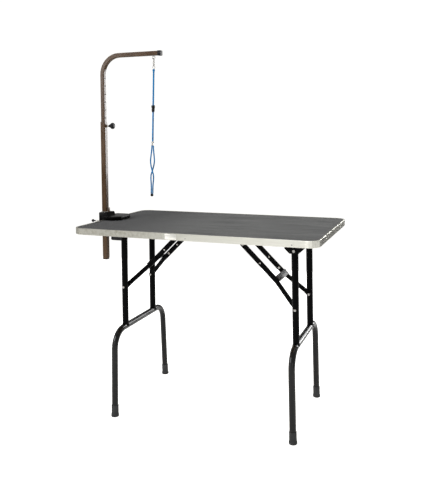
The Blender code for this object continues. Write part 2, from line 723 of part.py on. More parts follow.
def make_anchor(label, side):
    """A channel under the board that carries a rod, on which the upper stays turn."""
    anchor, _, _ = stay_geometry(side)
    holder = label + "_stay_anchor_frame"
    frame(holder, "table", anchor)
    top = FITTING_TOP_Z - anchor.z
    sheet = FITTING_SHEET_Z - anchor.z
    outside = ANCHOR_CHEEK_Y + BRACKET_SHEET / 2
    long = ANCHOR_HALF_LENGTH
    base = prism([(-long, -outside), (long, -outside), (long, outside), (-long, outside)],
                 sheet, top, "base")
    nose = [(0.010 * math.cos(math.pi * i / 8), -0.010 * math.sin(math.pi * i / 8))
            for i in range(9)]
    shoulder = sheet + BRACKET_SHEET / 2
    cheek = [(long, shoulder)] + nose + [(-long, shoulder)]
    cheeks = []
    for row_sign in ROWS.values():
        middle = row_sign * ANCHOR_CHEEK_Y
        cheeks.append(prism(cheek, middle - BRACKET_SHEET / 2, middle + BRACKET_SHEET / 2,
                            "cheek", "Y"))
    solid = joined(base, cheeks, "anchor")
    drill = bore(ROD_RADIUS + BORE_CLEARANCE, -outside - 0.002, outside + 0.002, "Y")
    piece(label + "_stay_anchor", cut(solid, [drill], "anchor"), "black_powder_coat", holder)

    start = UPPER_STAY_Y + STAY_SHEET / 2 + GAP
    end = start + ROD_HEAD
    profile = [(ROD_HEAD_RADIUS * 0.8, -end), (ROD_HEAD_RADIUS, -start - ROD_HEAD * 0.5),
               (ROD_HEAD_RADIUS, -start), (ROD_RADIUS, -start), (ROD_RADIUS, start),
               (ROD_HEAD_RADIUS, start), (ROD_HEAD_RADIUS, start + ROD_HEAD * 0.5),
               (ROD_HEAD_RADIUS * 0.8, end)]
    piece(label + "_stay_rod", turned(profile, "rod", "Y", segments=16), "zinc", holder)


# ---------------------------------------------------------------- grooming arm
def make_post():
    """The outer square tube with its welded boss for the height screw. Its frame has X, Y
    on the post's axis and z = 0 on the floor."""
    frame("post", "table", (ARM_X, ARM_Y, 0))
    outer = square(POST_SIZE, TUBE_CORNER_RADIUS)
    inner = square(POST_SIZE - 2 * POST_WALL, TUBE_CORNER_RADIUS - POST_WALL)
    tube = swept([Vector((0, 0, POST_BOTTOM_Z)), Vector((0, 0, POST_TOP_Z))], [outer, inner],
                 "arm_post")
    face = POST_SIZE / 2
    boss = turned([(BOSS_RADIUS, face - POST_WALL / 2), (BOSS_RADIUS, BOSS_END - 0.001),
                   (BOSS_RADIUS - 0.001, BOSS_END)], "boss", "X", (0, 0, KNOB_Z), 16)
    drill = bore(KNOB_STEM_RADIUS + BORE_CLEARANCE, face - 2 * POST_WALL, BOSS_END + 0.003,
                 "X", (0, 0, KNOB_Z))
    piece("arm_post", cut(joined(tube, [boss], "post"), [drill], "post"),
          "brown_powder_coat", "post")

    low = POST_BOTTOM_Z - GAP
    flange = prism(square(POST_SIZE, TUBE_CORNER_RADIUS), low - PLUG_FLANGE, low, "flange")
    spigot = prism(square(PLUG_SPIGOT, 0.0012), low - PLUG_FLANGE / 2,
                   POST_BOTTOM_Z + PLUG_DEPTH, "spigot")
    piece("post_bottom_plug", joined(flange, [spigot], "plug"), "black_plastic", "post")


def make_bent_arm():
    """The inner square tube: it slides in the post and bends over the table."""
    frame("arm", "post", (ARM_X, ARM_Y, 0))
    outer = square(ARM_SIZE, TUBE_CORNER_RADIUS)
    inner = square(ARM_SIZE - 2 * ARM_WALL, TUBE_CORNER_RADIUS - ARM_WALL)
    path = filleted([(0, 0, ARM_BOTTOM_Z), (0, 0, ARM_AXIS_Z), (ARM_REACH, 0, ARM_AXIS_Z)],
                    ARM_BEND, 10)
    tube = swept(path, [outer, inner], "bent_arm")
    drills = []
    for step in range(-HEIGHT_HOLES_BELOW, HEIGHT_HOLES_ABOVE + 1):
        height = KNOB_Z + step * HEIGHT_HOLE_PITCH
        drills.append(bore(HEIGHT_HOLE_RADIUS, ARM_SIZE / 2 - 0.004, ARM_SIZE / 2 + 0.003, "X",
                           (0, 0, height), 12))
    eye_bore = bore(EYE_WIRE + BORE_CLEARANCE, -0.004, 0.004, "Z",
                    (LEASH_X - ARM_X, 0, ARM_AXIS_Z - ARM_SIZE / 2))
    piece("bent_arm", cut(tube, drills + [eye_bore], "bent_arm"), "brown_powder_coat", "arm")

    shell = ARM_SIZE / 2 + GAP
    end = ARM_REACH + GAP
    blank = square(END_CAP_SIZE, TUBE_CORNER_RADIUS)
    hole = square(2 * shell, TUBE_CORNER_RADIUS)
    outside, inside = [], []
    for x, size in ((end + 0.003 - END_CAP_LENGTH, 1.0), (end + 0.002, 1.0), (end + 0.003, 0.92)):
        outside.append([Vector((x, p.x * size, ARM_AXIS_Z + p.y * size)) for p in blank])
    for x in (end + 0.0002, end + 0.003 - END_CAP_LENGTH):
        inside.append([Vector((x, p.x, ARM_AXIS_Z + p.y)) for p in hole])
    # from the closed end's inner face, out through the mouth and back along the outside
    piece("arm_end_cap", loft(inside + outside, "end_cap"), "black_plastic", "arm")


def make_height_knob():
    """A screw through the post's boss, with a hat-shaped knob. Local origin: on its axis
    at the post's axis."""
    frame("height_screw", "post", (ARM_X, ARM_Y, KNOB_Z))
    tip = ARM_SIZE / 2 + 0.0009
    profile = [
        (KNOB_STEM_RADIUS * 0.8, tip), (KNOB_STEM_RADIUS, tip + 0.0008),
        (KNOB_STEM_RADIUS, 0.0255), (0.0052, 0.0257), (0.0060, 0.0290), (0.0095, 0.0340),
        (0.0127, 0.0385), (KNOB_RADIUS, 0.0420), (0.0130, 0.0455), (0.0105, 0.0483),
        (0.0050, 0.0495),
    ]
    piece("height_knob", turned(profile, "height_knob", "X"), "black_plastic", "height_screw")


def make_clamp():
    frame("clamp", "table", (0, ARM_Y, 0))
    outer, inner = CLAMP_WEB_OUTER_X, CLAMP_WEB_INNER_X
    jaw_top = JAW_BOTTOM_Z + JAW_THICKNESS
    web = prism([(outer, CLAMP_BOTTOM_Z), (inner, CLAMP_BOTTOM_Z), (inner, JAW_BOTTOM_Z),
                 (inner + 0.012, JAW_BOTTOM_Z), (inner + 0.012, jaw_top - 0.001),
                 (inner + 0.005, CLAMP_TOP_Z), (outer + 0.003, CLAMP_TOP_Z),
                 (outer, CLAMP_TOP_Z - 0.003)],
                -CLAMP_HALF_WIDTH, CLAMP_HALF_WIDTH, "web", "Y")
    root = JAW_ROOT_HALF_WIDTH
    tip_x, tip = JAW_TIP_X, JAW_TIP_HALF_WIDTH
    shoulder_x = (inner + 2 * tip_x) / 3
    jaw = prism(rounded([(inner, -root), (shoulder_x, -root), (tip_x, -tip), (tip_x, tip),
                         (shoulder_x, root), (inner, root)], 0.007, 4),
                JAW_BOTTOM_Z, jaw_top, "jaw")
    lower = prism(rounded([(inner - 0.02, -LOWER_JAW_HALF_WIDTH),
                           (LOWER_JAW_TIP_X, -LOWER_JAW_HALF_WIDTH),
                           (LOWER_JAW_TIP_X, LOWER_JAW_HALF_WIDTH),
                           (inner - 0.02, LOWER_JAW_HALF_WIDTH)], 0.010, 4),
                  CLAMP_BOTTOM_Z + 0.0002, CLAMP_BOTTOM_Z + LOWER_JAW_THICKNESS, "lower_jaw")
    body = joined(web, [jaw, lower], "clamp_body")
    sleeve = prism([Vector((ARM_X, 0)) + p
                    for p in square(POST_SIZE + 2 * POST_SLEEVE_CLEARANCE, TUBE_CORNER_RADIUS)],
                   CLAMP_BOTTOM_Z - 0.01, CLAMP_TOP_Z + 0.01, "sleeve")
    screw_hole = bore(SCREW_RADIUS + BORE_CLEARANCE, CLAMP_BOTTOM_Z - 0.01,
                      CLAMP_BOTTOM_Z + LOWER_JAW_THICKNESS + 0.01, "Z", (SCREW_X, 0, 0))
    lock_hole = bore(LOCK_SCREW_RADIUS + BORE_CLEARANCE, outer - 0.01, ARM_X, "X",
                     (0, 0, LOCK_SCREW_Z))
    piece("clamp_body", cut(body, [sleeve, screw_hole, lock_hole], "clamp_body"),
          "black_powder_coat", "clamp")

    frame("clamp_pad", "table", (SCREW_X, ARM_Y, 0))
    top = FITTING_TOP_Z
    low = top - PAD_HEIGHT
    socket = SCREW_RADIUS + 0.0005
    pad = turned([(socket, low + PAD_SOCKET_DEPTH), (socket, low), (PAD_RADIUS * 0.6, low),
                  (PAD_RADIUS, low + 0.003), (PAD_RADIUS, top - 0.0005),
                  (PAD_RADIUS - 0.0005, top)], "clamp_pad")
    piece("clamp_pressure_pad", pad, "black_rubber", "clamp_pad")

    frame("clamp_screw_axis", "clamp_pad", (SCREW_X, ARM_Y, 0))
    screw = turned([(SCREW_RADIUS, SCREW_BOTTOM_Z), (SCREW_RADIUS, low + PAD_SOCKET_DEPTH - 0.0013),
                    (SCREW_RADIUS * 0.7, low + PAD_SOCKET_DEPTH - GAP)], "clamp_screw",
                   segments=16)
    piece("clamp_screw", screw, "zinc", "clamp_screw_axis")
    end = SCREW_BOTTOM_Z - GAP
    half, thick = WING_HALF_LENGTH, WING_THICKNESS / 2
    wing_outline = rounded([(-half, end - WING_HEIGHT), (half, end - WING_HEIGHT), (half, end),
                            (-half, end)], WING_HEIGHT * 0.42, 5)
    piece("clamp_wing_knob", prism(wing_outline, -thick, thick, "wing", "Y"), "black_plastic",
          "clamp_screw_axis")


def make_lock_screw():
    """A ball-ended screw through the clamp's web that holds the post."""
    frame("lock_screw", "table", (LOCK_BALL_X, ARM_Y, LOCK_SCREW_Z))
    tip = ARM_X - POST_SIZE / 2 - GAP - LOCK_BALL_X
    radius = LOCK_BALL_RADIUS
    start = math.asin(0.12)
    stop = math.acos(LOCK_SCREW_RADIUS / radius)
    steps = 10
    ball = []
    for i in range(steps + 1):
        angle = -math.pi / 2 + start + (stop + math.pi / 2 - start) * i / steps
        ball.append((radius * math.cos(angle), radius * math.sin(angle)))
    profile = ball + [(LOCK_SCREW_RADIUS, tip - 0.0006), (LOCK_SCREW_RADIUS * 0.7, tip)]
    piece("post_lock_screw", turned(profile, "lock_screw", "X", segments=16), "zinc",
          "lock_screw")


# ---------------------------------------------------------------- leash
def make_eye():
    """A wire eye riveted in the arm's underside, its ring facing the table's long side."""
    centre = (LEASH_X - ARM_X, 0, EYE_Z)
    ring = ring_mesh(EYE_RING_RADIUS, EYE_WIRE, "eye", centre)
    wall = ARM_AXIS_Z - ARM_SIZE / 2
    shank = turned([(EYE_WIRE, EYE_Z + EYE_RING_RADIUS), (EYE_WIRE, wall + ARM_WALL + GAP),
                    (0.0032, wall + ARM_WALL + GAP), (0.0026, wall + ARM_WALL + 0.002)], "shank",
                   "Z", (centre[0], 0, 0))
    piece("leash_eye", joined(ring, [shank], "leash_eye"), "zinc", "arm")


def make_snap():
    """The hook that hangs in the eye. Local origin: on the eye's bottom wire, the axis
    that the leash swings about."""
    swing_z = EYE_Z - EYE_RING_RADIUS
    frame("snap", "arm", (LEASH_X, ARM_Y, swing_z))
    ring_top = EYE_WIRE + HOOK_WIRE + GAP
    ring = ring_mesh(HOOK_RING_RADIUS, HOOK_WIRE, "hook",
                     (0, 0, ring_top - HOOK_RING_RADIUS), "YZ")
    top = ring_top - 2 * HOOK_RING_RADIUS
    bottom = SNAP_BOTTOM_Z - swing_z
    bore_radius = SWIVEL_STEM_RADIUS + GAP
    body = turned([(0.0002, top - 0.0001), (0.0022, top), (SNAP_BODY_RADIUS * 0.8, top - 0.003),
                   (SNAP_BODY_RADIUS, top - 0.006), (SNAP_BODY_RADIUS, bottom + 0.0015),
                   (SNAP_BODY_RADIUS * 0.85, bottom), (bore_radius, bottom),
                   (bore_radius, bottom + SWIVEL_BORE_DEPTH)], "body", segments=16)
    piece("leash_snap", joined(ring, [body], "leash_snap"), "zinc", "snap")


def noose_strand(sign):
    """The route of one strand of the twisted noose, from the crimp to the end ball. The
    two strands wind round each other: spread is each one's distance from the hanging
    line, turns its angle about that line in half turns."""
    stations = [
        # height, spread, half turns
        (CRIMP_BOTTOM_Z - GAP, 0.0032, 0.00), (1.0550, 0.0040, 0.00), (1.0350, 0.0062, 0.02),
        (1.0100, 0.0080, 0.10), (0.9900, 0.0066, 0.28), (0.9700, 0.0038, 0.55),
        (0.9500, 0.0075, 0.86), (0.9320, 0.0060, 1.00), (0.9120, 0.0040, 1.06),
        (0.8920, 0.0032, 1.10), (0.8720, 0.0032, 1.10),
    ]
    route = []
    for height, spread, half_turns in stations:
        angle = math.pi * half_turns
        route.append(Vector((sign * spread * math.cos(angle), sign * spread * math.sin(angle),
                             height)))
    return route


def smooth_route(points, spacing):
    """Evenly spaced points of a Catmull-Rom curve through the route's own points."""
    padded = [2 * points[0] - points[1]] + points + [2 * points[-1] - points[-2]]
    fine = []
    steps = 40
    for i in range(1, len(padded) - 2):
        p0, p1, p2, p3 = padded[i - 1:i + 3]
        for k in range(steps):
            t = k / steps
            fine.append(0.5 * (2 * p1 + (p2 - p0) * t + (2 * p0 - 5 * p1 + 4 * p2 - p3) * t ** 2
                               + (3 * p1 - p0 - 3 * p2 + p3) * t ** 3))
    fine.append(points[-1].copy())
    lengths = [0.0]
    for a, b in zip(fine, fine[1:]):
        lengths.append(lengths[-1] + (b - a).length)
    count = max(2, round(lengths[-1] / spacing))
    out, j = [], 0
    for i in range(count + 1):
        target = lengths[-1] * i / count
        while j < len(lengths) - 2 and lengths[j + 1] < target:
            j += 1
        share = (target - lengths[j]) / (lengths[j + 1] - lengths[j])
        out.append(fine[j].lerp(fine[j + 1], min(max(share, 0), 1)))
    return out


def cord(name, route, radius, parent):
    """A cord's tube along its route: a bevelled curve with filled caps."""
    curve = bpy.data.curves.new(name, "CURVE")
    curve.dimensions = "3D"
    curve.bevel_depth = radius
    curve.bevel_resolution = 2
    curve.use_fill_caps = True
    points = smooth_route(route, 5 * radius)
    spline = curve.splines.new("POLY")
    spline.points.add(len(points) - 1)
    for slot, point in zip(spline.points, points):
        slot.co = (*point, 1.0)
    curve.materials.append(material("blue_cord"))
    obj = bpy.data.objects.new(name, curve)
    bpy.context.scene.collection.objects.link(obj)
    obj.parent = bpy.data.objects[parent]
    return obj


def make_leash():
    """Everything below the snap's swivel. Local frame: X, Y on the hanging line, which
    leans by LEASH_LEAN about the middle of the swivel's bore; z = 0 near the floor."""
    pivot_z = SNAP_BOTTOM_Z + SWIVEL_BORE_DEPTH / 2
    origin = (LEASH_X - pivot_z * math.sin(LEASH_LEAN), ARM_Y,
              pivot_z * (1 - math.cos(LEASH_LEAN)))
    frame("leash", "snap", origin, LEASH_LEAN)
    stem_top = SNAP_BOTTOM_Z + SWIVEL_BORE_DEPTH - GAP
    ball = turned([(0.0012, SWIVEL_BALL_Z - 0.0040), (0.0030, SWIVEL_BALL_Z - 0.0028),
                   (0.0040, SWIVEL_BALL_Z), (0.0032, SWIVEL_BALL_Z + 0.0028),
                   (0.0018, SWIVEL_BALL_Z + 0.0040),
                   (SWIVEL_STEM_RADIUS, SWIVEL_BALL_Z + 0.0044),
                   (SWIVEL_STEM_RADIUS, stem_top)], "ball", segments=16)
    ring = ring_mesh(HOOK_RING_RADIUS, HOOK_WIRE, "ring", (0, 0, SWIVEL_RING_Z))
    piece("leash_swivel", joined(ball, [ring], "leash_swivel"), "zinc", "leash")

    knot = turned([(0.0040, KNOT_TOP_Z), (0.0050, KNOT_TOP_Z - 0.0020),
                   (0.0052, KNOT_BOTTOM_Z + 0.0025), (0.0042, KNOT_BOTTOM_Z)], "knot",
                  segments=16)
    piece("leash_top_knot", knot, "blue_cord", "leash")
    line = [Vector((0, 0, KNOT_BOTTOM_Z - GAP)), Vector((0, 0, CRIMP_TOP_Z + GAP))]
    cord("leash_line", line, LINE_RADIUS, "leash")
    crimp = turned([(0.0040, CRIMP_TOP_Z), (0.0048, CRIMP_TOP_Z - 0.0010),
                    (0.0048, CRIMP_BOTTOM_Z + 0.0010), (0.0040, CRIMP_BOTTOM_Z)], "crimp",
                   segments=16)
    piece("leash_crimp", crimp, "zinc", "leash")
    for label, sign in (("left", -1), ("right", 1)):
        cord(f"noose_{label}_strand", noose_strand(sign), NOOSE_RADIUS, "leash")

    radius, centre = NOOSE_END_BALL_RADIUS, NOOSE_END_BALL_Z
    steps = 9
    profile = [(0.0052, centre + 0.0057)]
    for i in range(1, steps):
        angle = math.pi / 2 - 0.62 - (math.pi - 0.80) * i / steps
        profile.append((radius * math.cos(angle), centre + radius * math.sin(angle)))
    piece("noose_end_ball", turned(profile, "end_ball", segments=16), "black_plastic", "leash")

    frame("slide_lock", "leash", origin, LEASH_LEAN)
    bore_radius = LINE_RADIUS + 0.0004
    top, bottom = LOCK_TOP_Z, LOCK_BOTTOM_Z
    lock = turned([(bore_radius, bottom), (bore_radius, top), (0.0062, top),
                   (0.0078, top - 0.0025), (0.0078, top - 0.0085), (0.0056, top - 0.0120),
                   (0.0066, top - 0.0150), (0.0066, top - 0.0200), (0.0050, bottom)],
                  "slide_lock", segments=16, hollow=True)
    piece("leash_slide_lock", lock, "black_plastic", "slide_lock")


# ---------------------------------------------------------------- build
def main():
    for leftover in list(bpy.data.objects):
        bpy.data.objects.remove(leftover)
    frame("table", None, (0, 0, 0))
    make_top()
    for label, side in SIDES.items():
        make_leg(label, side)
        make_stays(label, side)
        make_anchor(label, side)
    make_clamp()
    make_lock_screw()
    make_post()
    make_bent_arm()
    make_height_knob()
    make_eye()
    make_snap()
    make_leash()
    bpy.context.view_layer.update()


main()
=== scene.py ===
"""Looks of the folding grooming table: finishes, cords and small hardware around the CAD frame."""
import json
import math

import bmesh
import bpy
from mathutils import Matrix, Vector

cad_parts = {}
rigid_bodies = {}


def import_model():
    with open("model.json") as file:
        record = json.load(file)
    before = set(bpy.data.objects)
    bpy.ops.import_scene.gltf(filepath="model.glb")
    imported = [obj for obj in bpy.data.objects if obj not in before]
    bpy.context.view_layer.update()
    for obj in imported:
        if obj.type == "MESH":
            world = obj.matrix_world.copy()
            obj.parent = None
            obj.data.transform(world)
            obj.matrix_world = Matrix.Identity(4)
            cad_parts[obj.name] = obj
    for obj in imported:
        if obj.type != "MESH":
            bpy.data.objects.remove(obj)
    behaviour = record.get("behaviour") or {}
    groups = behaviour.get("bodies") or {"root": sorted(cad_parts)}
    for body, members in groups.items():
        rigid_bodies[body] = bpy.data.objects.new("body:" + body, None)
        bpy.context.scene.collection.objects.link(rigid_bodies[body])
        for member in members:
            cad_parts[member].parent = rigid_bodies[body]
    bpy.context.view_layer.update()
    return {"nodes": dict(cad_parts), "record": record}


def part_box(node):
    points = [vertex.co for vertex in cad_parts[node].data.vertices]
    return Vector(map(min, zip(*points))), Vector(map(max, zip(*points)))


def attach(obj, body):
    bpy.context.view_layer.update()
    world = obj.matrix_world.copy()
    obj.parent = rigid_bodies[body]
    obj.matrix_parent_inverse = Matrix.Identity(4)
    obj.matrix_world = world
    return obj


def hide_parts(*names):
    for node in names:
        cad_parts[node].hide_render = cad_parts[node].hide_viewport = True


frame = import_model()
NODES = frame["nodes"]
BODY_OF = {node: body for body, nodes in frame["record"]["behaviour"]["bodies"].items()
           for node in nodes}
for leftover in [o for o in bpy.data.objects if o.name in ("Cube", "Light", "Camera")]:
    bpy.data.objects.remove(leftover)

FRAME_SHIFT_X = 0.0455          # from the table's own centre to the middle of the whole object

# ---------------------------------------------------------------- camera
CAMERA_AT = Vector((0.8683 + FRAME_SHIFT_X, -2.3158, 1.1153))
CAMERA_AZIMUTH = math.radians(20.866)
CAMERA_PITCH = math.radians(4.196)
CAMERA_ROLL = -0.0054
CAMERA_LENS = 44.50
CAMERA_SHIFT = -0.14


def make_camera():
    look = Vector((-math.sin(CAMERA_AZIMUTH) * math.cos(CAMERA_PITCH),
                   math.cos(CAMERA_AZIMUTH) * math.cos(CAMERA_PITCH), -math.sin(CAMERA_PITCH)))
    level = Vector((math.cos(CAMERA_AZIMUTH), math.sin(CAMERA_AZIMUTH), 0))
    upright = level.cross(look)
    right = level * math.cos(CAMERA_ROLL) + upright * math.sin(CAMERA_ROLL)
    up = upright * math.cos(CAMERA_ROLL) - level * math.sin(CAMERA_ROLL)
    data = bpy.data.cameras.new("camera")
    data.sensor_width = 36.0
    data.lens = CAMERA_LENS
    data.shift_y = CAMERA_SHIFT
    data.clip_start = 0.05
    camera = bpy.data.objects.new("camera", data)
    bpy.context.scene.collection.objects.link(camera)
    turn = Matrix((right, up, -look)).transposed()
    camera.matrix_world = Matrix.Translation(CAMERA_AT) @ turn.to_4x4()
    bpy.context.scene.camera = camera


make_camera()


# ---------------------------------------------------------------- node materials
def add(tree, kind, values=None, **settings):
    """A shader node with its sockets set or linked by name."""
    node = tree.nodes.new(kind)
    for key, value in settings.items():
        setattr(node, key, value)
    for key, value in (values or {}).items():
        socket = node.inputs[key]
        if isinstance(value, bpy.types.NodeSocket):
            tree.links.new(value, socket)
        else:
            socket.default_value = value
    return node


def mixed(tree, share, first, second):
    """A colour between two colours."""
    node = tree.nodes.new("ShaderNodeMix")
    node.data_type = "RGBA"
    for slot, value in ((0, share), (6, first), (7, second)):
        if isinstance(value, bpy.types.NodeSocket):
            tree.links.new(value, node.inputs[slot])
        else:
            node.inputs[slot].default_value = value if slot == 0 else (*value, 1.0)
    return node.outputs[2]


def place(tree, stretch=(1, 1, 1), turn=(0, 0, 0)):
    """Coordinates fixed to the piece, in metres, stretched along its axes."""
    where = add(tree, "ShaderNodeTexCoord").outputs["Object"]
    return add(tree, "ShaderNodeMapping", {"Vector": where, "Scale": stretch, "Rotation": turn}
               ).outputs[0]


def noise(tree, where, scale, detail=3.0, roughness=0.55):
    return add(tree, "ShaderNodeTexNoise", {"Vector": where, "Scale": scale, "Detail": detail,
                                            "Roughness": roughness}).outputs["Fac"]


def remap(tree, value, low, high, to_low=0.0, to_high=1.0):
    return add(tree, "ShaderNodeMapRange", {"Value": value, "From Min": low, "From Max": high,
                                            "To Min": to_low, "To Max": to_high}).outputs[0]


def maths(tree, operation, first, second=0.0):
    return add(tree, "ShaderNodeMath", {0: first, 1: second}, operation=operation).outputs[0]


def bump(tree, height, distance, strength=1.0, after=None):
    values = {"Height": height, "Distance": distance, "Strength": strength}
    if after is not None:
        values["Normal"] = after
    return add(tree, "ShaderNodeBump", values).outputs[0]


def start(name, **shader):
    """A new material, its tree and its Principled shader with the given sockets set."""
    material = bpy.data.materials.new(name)
    material.use_nodes = True
    tree = material.node_tree
    principled = tree.nodes["Principled BSDF"]
    for key, value in shader.items():
        principled.inputs[key.replace("_", " ")].default_value = value
    return material, tree, principled


WORN_EDGE_RADIUS = 0.0012


def edge_wear(tree, radius):
    """Near 1 on convex edges and 0 on flats, from how far a rounded normal turns away."""
    soft = add(tree, "ShaderNodeBevel", {"Radius": radius}, samples=4).outputs[0]
    hard = add(tree, "ShaderNodeNewGeometry").outputs["Normal"]
    facing = add(tree, "ShaderNodeVectorMath", {0: soft, 1: hard}, operation="DOT_PRODUCT")
    return remap(tree, facing.outputs["Value"], 0.97, 0.80)


def painted(name, colour, pale, roughness, wear, coat, shine, peel=0.00012):
    """Powder coat: orange peel, cloudy tone, handling marks and worn edges."""
    material, tree, shader = start(name, Coat_Weight=coat, Coat_Roughness=0.12,
                                   Specular_IOR_Level=shine)
    where = place(tree)
    cloud = noise(tree, where, 14.0, 4.0)
    fine = noise(tree, where, 900.0, 2.0)
    tone = mixed(tree, remap(tree, cloud, 0.35, 0.75), colour, pale)
    scuffs = noise(tree, place(tree, (60, 60, 9), (0.3, 0.2, 0)), 6.0, 5.0, 0.7)
    marks = remap(tree, scuffs, 0.66, 0.78, 0.0, 0.35)
    tone = mixed(tree, marks, tone, tuple(min(1.0, c * 1.8 + 0.01) for c in pale))
    worn = maths(tree, "MULTIPLY", edge_wear(tree, WORN_EDGE_RADIUS),
                 remap(tree, scuffs, 0.45, 0.7))
    tone = mixed(tree, worn, tone, wear)
    tree.links.new(tone, shader.inputs["Base Color"])
    rough = maths(tree, "ADD", remap(tree, cloud, 0.3, 0.8, roughness - 0.05, roughness + 0.08),
                  maths(tree, "MULTIPLY", marks, 0.5))
    tree.links.new(rough, shader.inputs["Roughness"])
    peel_at = noise(tree, where, 260.0, 2.0)
    normal = bump(tree, peel_at, peel, 0.7)
    normal = bump(tree, fine, 0.00003, 0.5, normal)
    tree.links.new(normal, shader.inputs["Normal"])
    return material


LINES_ACROSS = 900.0            # how tightly drawn lines lie, and how slowly they change along
LINES_ALONG = 7.0


def brushed(name, colour, shade, roughness, along):
    """Drawn or brushed metal: fine lines along one axis, faint stains, small dents."""
    material, tree, shader = start(name, Metallic=1.0)
    stretch = [LINES_ACROSS, LINES_ACROSS, LINES_ACROSS]
    stretch[along] = LINES_ALONG
    lines = noise(tree, place(tree, stretch), 1.0, 4.0, 0.7)
    cloud = noise(tree, place(tree), 22.0, 4.0)
    tone = mixed(tree, remap(tree, lines, 0.35, 0.7), colour, shade)
    tone = mixed(tree, remap(tree, cloud, 0.55, 0.8, 0.0, 0.5), tone, shade)
    tree.links.new(tone, shader.inputs["Base Color"])
    rough = maths(tree, "ADD", remap(tree, lines, 0.3, 0.75, roughness - 0.07, roughness + 0.08),
                  remap(tree, cloud, 0.4, 0.8, 0.0, 0.1))
    tree.links.new(rough, shader.inputs["Roughness"])
    normal = bump(tree, lines, 0.00004, 0.8)
    normal = bump(tree, noise(tree, place(tree), 60.0, 3.0), 0.0002, 0.25, normal)
    tree.links.new(normal, shader.inputs["Normal"])
    return material


def trim_metal():
    """The drawn trim: a painted reflection brightens it towards +X, painted shade greys it towards
    -X, where it is stained too.
    """
    material, tree, shader = start("aluminium", Metallic=1.0)
    where = place(tree)
    turned_to = add(tree, "ShaderNodeNewGeometry").outputs["Normal"]
    end_face = add(tree, "ShaderNodeSeparateXYZ", {"Vector": turned_to}).outputs[0]
    end_face = maths(tree, "GREATER_THAN", maths(tree, "ABSOLUTE", end_face), 0.7)
    lines = add(tree, "ShaderNodeMix", {0: end_face,
                                        2: noise(tree, place(tree, (7, 500, 900)), 1.0, 3.0),
                                        3: noise(tree, place(tree, (500, 7, 900)), 1.0, 3.0)
                                        }).outputs[0]
    stain = noise(tree, where, 75.0, 5.0, 0.7)
    length = add(tree, "ShaderNodeSeparateXYZ", {"Vector": where}).outputs[0]
    # Painted shade: the trim greys towards -X; the same mask lets the stains in there.
    shaded_and_stained_end = remap(tree, length, 0.05, -0.22)
    # Painted reflection: the trim's colour brightens towards +X.
    painted_reflection_tone = mixed(tree, remap(tree, length, -0.10, 0.35), (0.62, 0.615, 0.55),
                  (0.90, 0.89, 0.81))
    tone = mixed(tree, shaded_and_stained_end, painted_reflection_tone, (0.46, 0.45, 0.405))
    blotch = maths(tree, "MULTIPLY", remap(tree, stain, 0.44, 0.66), shaded_and_stained_end)
    tone = mixed(tree, blotch, tone, (0.30, 0.285, 0.235))
    tone = mixed(tree, remap(tree, lines, 0.4, 0.75, 0.0, 0.35), tone, (0.42, 0.41, 0.36))
    tree.links.new(tone, shader.inputs["Base Color"])
    rough = maths(tree, "ADD", remap(tree, lines, 0.3, 0.75, 0.27, 0.33),
                  maths(tree, "MULTIPLY", blotch, 0.15))
    tree.links.new(rough, shader.inputs["Roughness"])
    tree.links.new(bump(tree, lines, 0.000003, 0.5), shader.inputs["Normal"])
    return material


def plated(name, colour, shade, roughness):
    """Zinc plate: faint crystalline patches and fine pits."""
    material, tree, shader = start(name, Metallic=1.0)
    where = place(tree)
    cells = add(tree, "ShaderNodeTexVoronoi", {"Vector": where, "Scale": 420.0}).outputs["Color"]
    patch = add(tree, "ShaderNodeSeparateColor", {"Color": cells}).outputs[0]
    cloud = noise(tree, where, 180.0, 4.0)
    tone = mixed(tree, maths(tree, "MULTIPLY", patch, 0.5), colour, shade)
    tone = mixed(tree, remap(tree, cloud, 0.55, 0.85, 0.0, 0.6), tone, shade)
    tree.links.new(tone, shader.inputs["Base Color"])
    tree.links.new(remap(tree, patch, 0, 1, roughness - 0.05, roughness + 0.12),
                   shader.inputs["Roughness"])
    tree.links.new(bump(tree, cloud, 0.00005, 0.8), shader.inputs["Normal"])
    return material


def rubber(name, colour, pale, roughness, grain, depth, shine=0.4):
    """Moulded rubber or matt plastic: fine grain, dusty bloom."""
    material, tree, shader = start(name, Specular_IOR_Level=shine)
    where = place(tree)
    fine = noise(tree, where, grain, 3.0)
    dust = noise(tree, where, 35.0, 5.0, 0.65)
    tone = mixed(tree, remap(tree, dust, 0.4, 0.75), colour, pale)
    tone = mixed(tree, remap(tree, fine, 0.45, 0.7, 0.0, 0.35), tone, pale)
    tree.links.new(tone, shader.inputs["Base Color"])
    tree.links.new(remap(tree, dust, 0.3, 0.8, roughness - 0.06, roughness + 0.1),
                   shader.inputs["Roughness"])
    tree.links.new(bump(tree, fine, depth, 0.8), shader.inputs["Normal"])
    return material


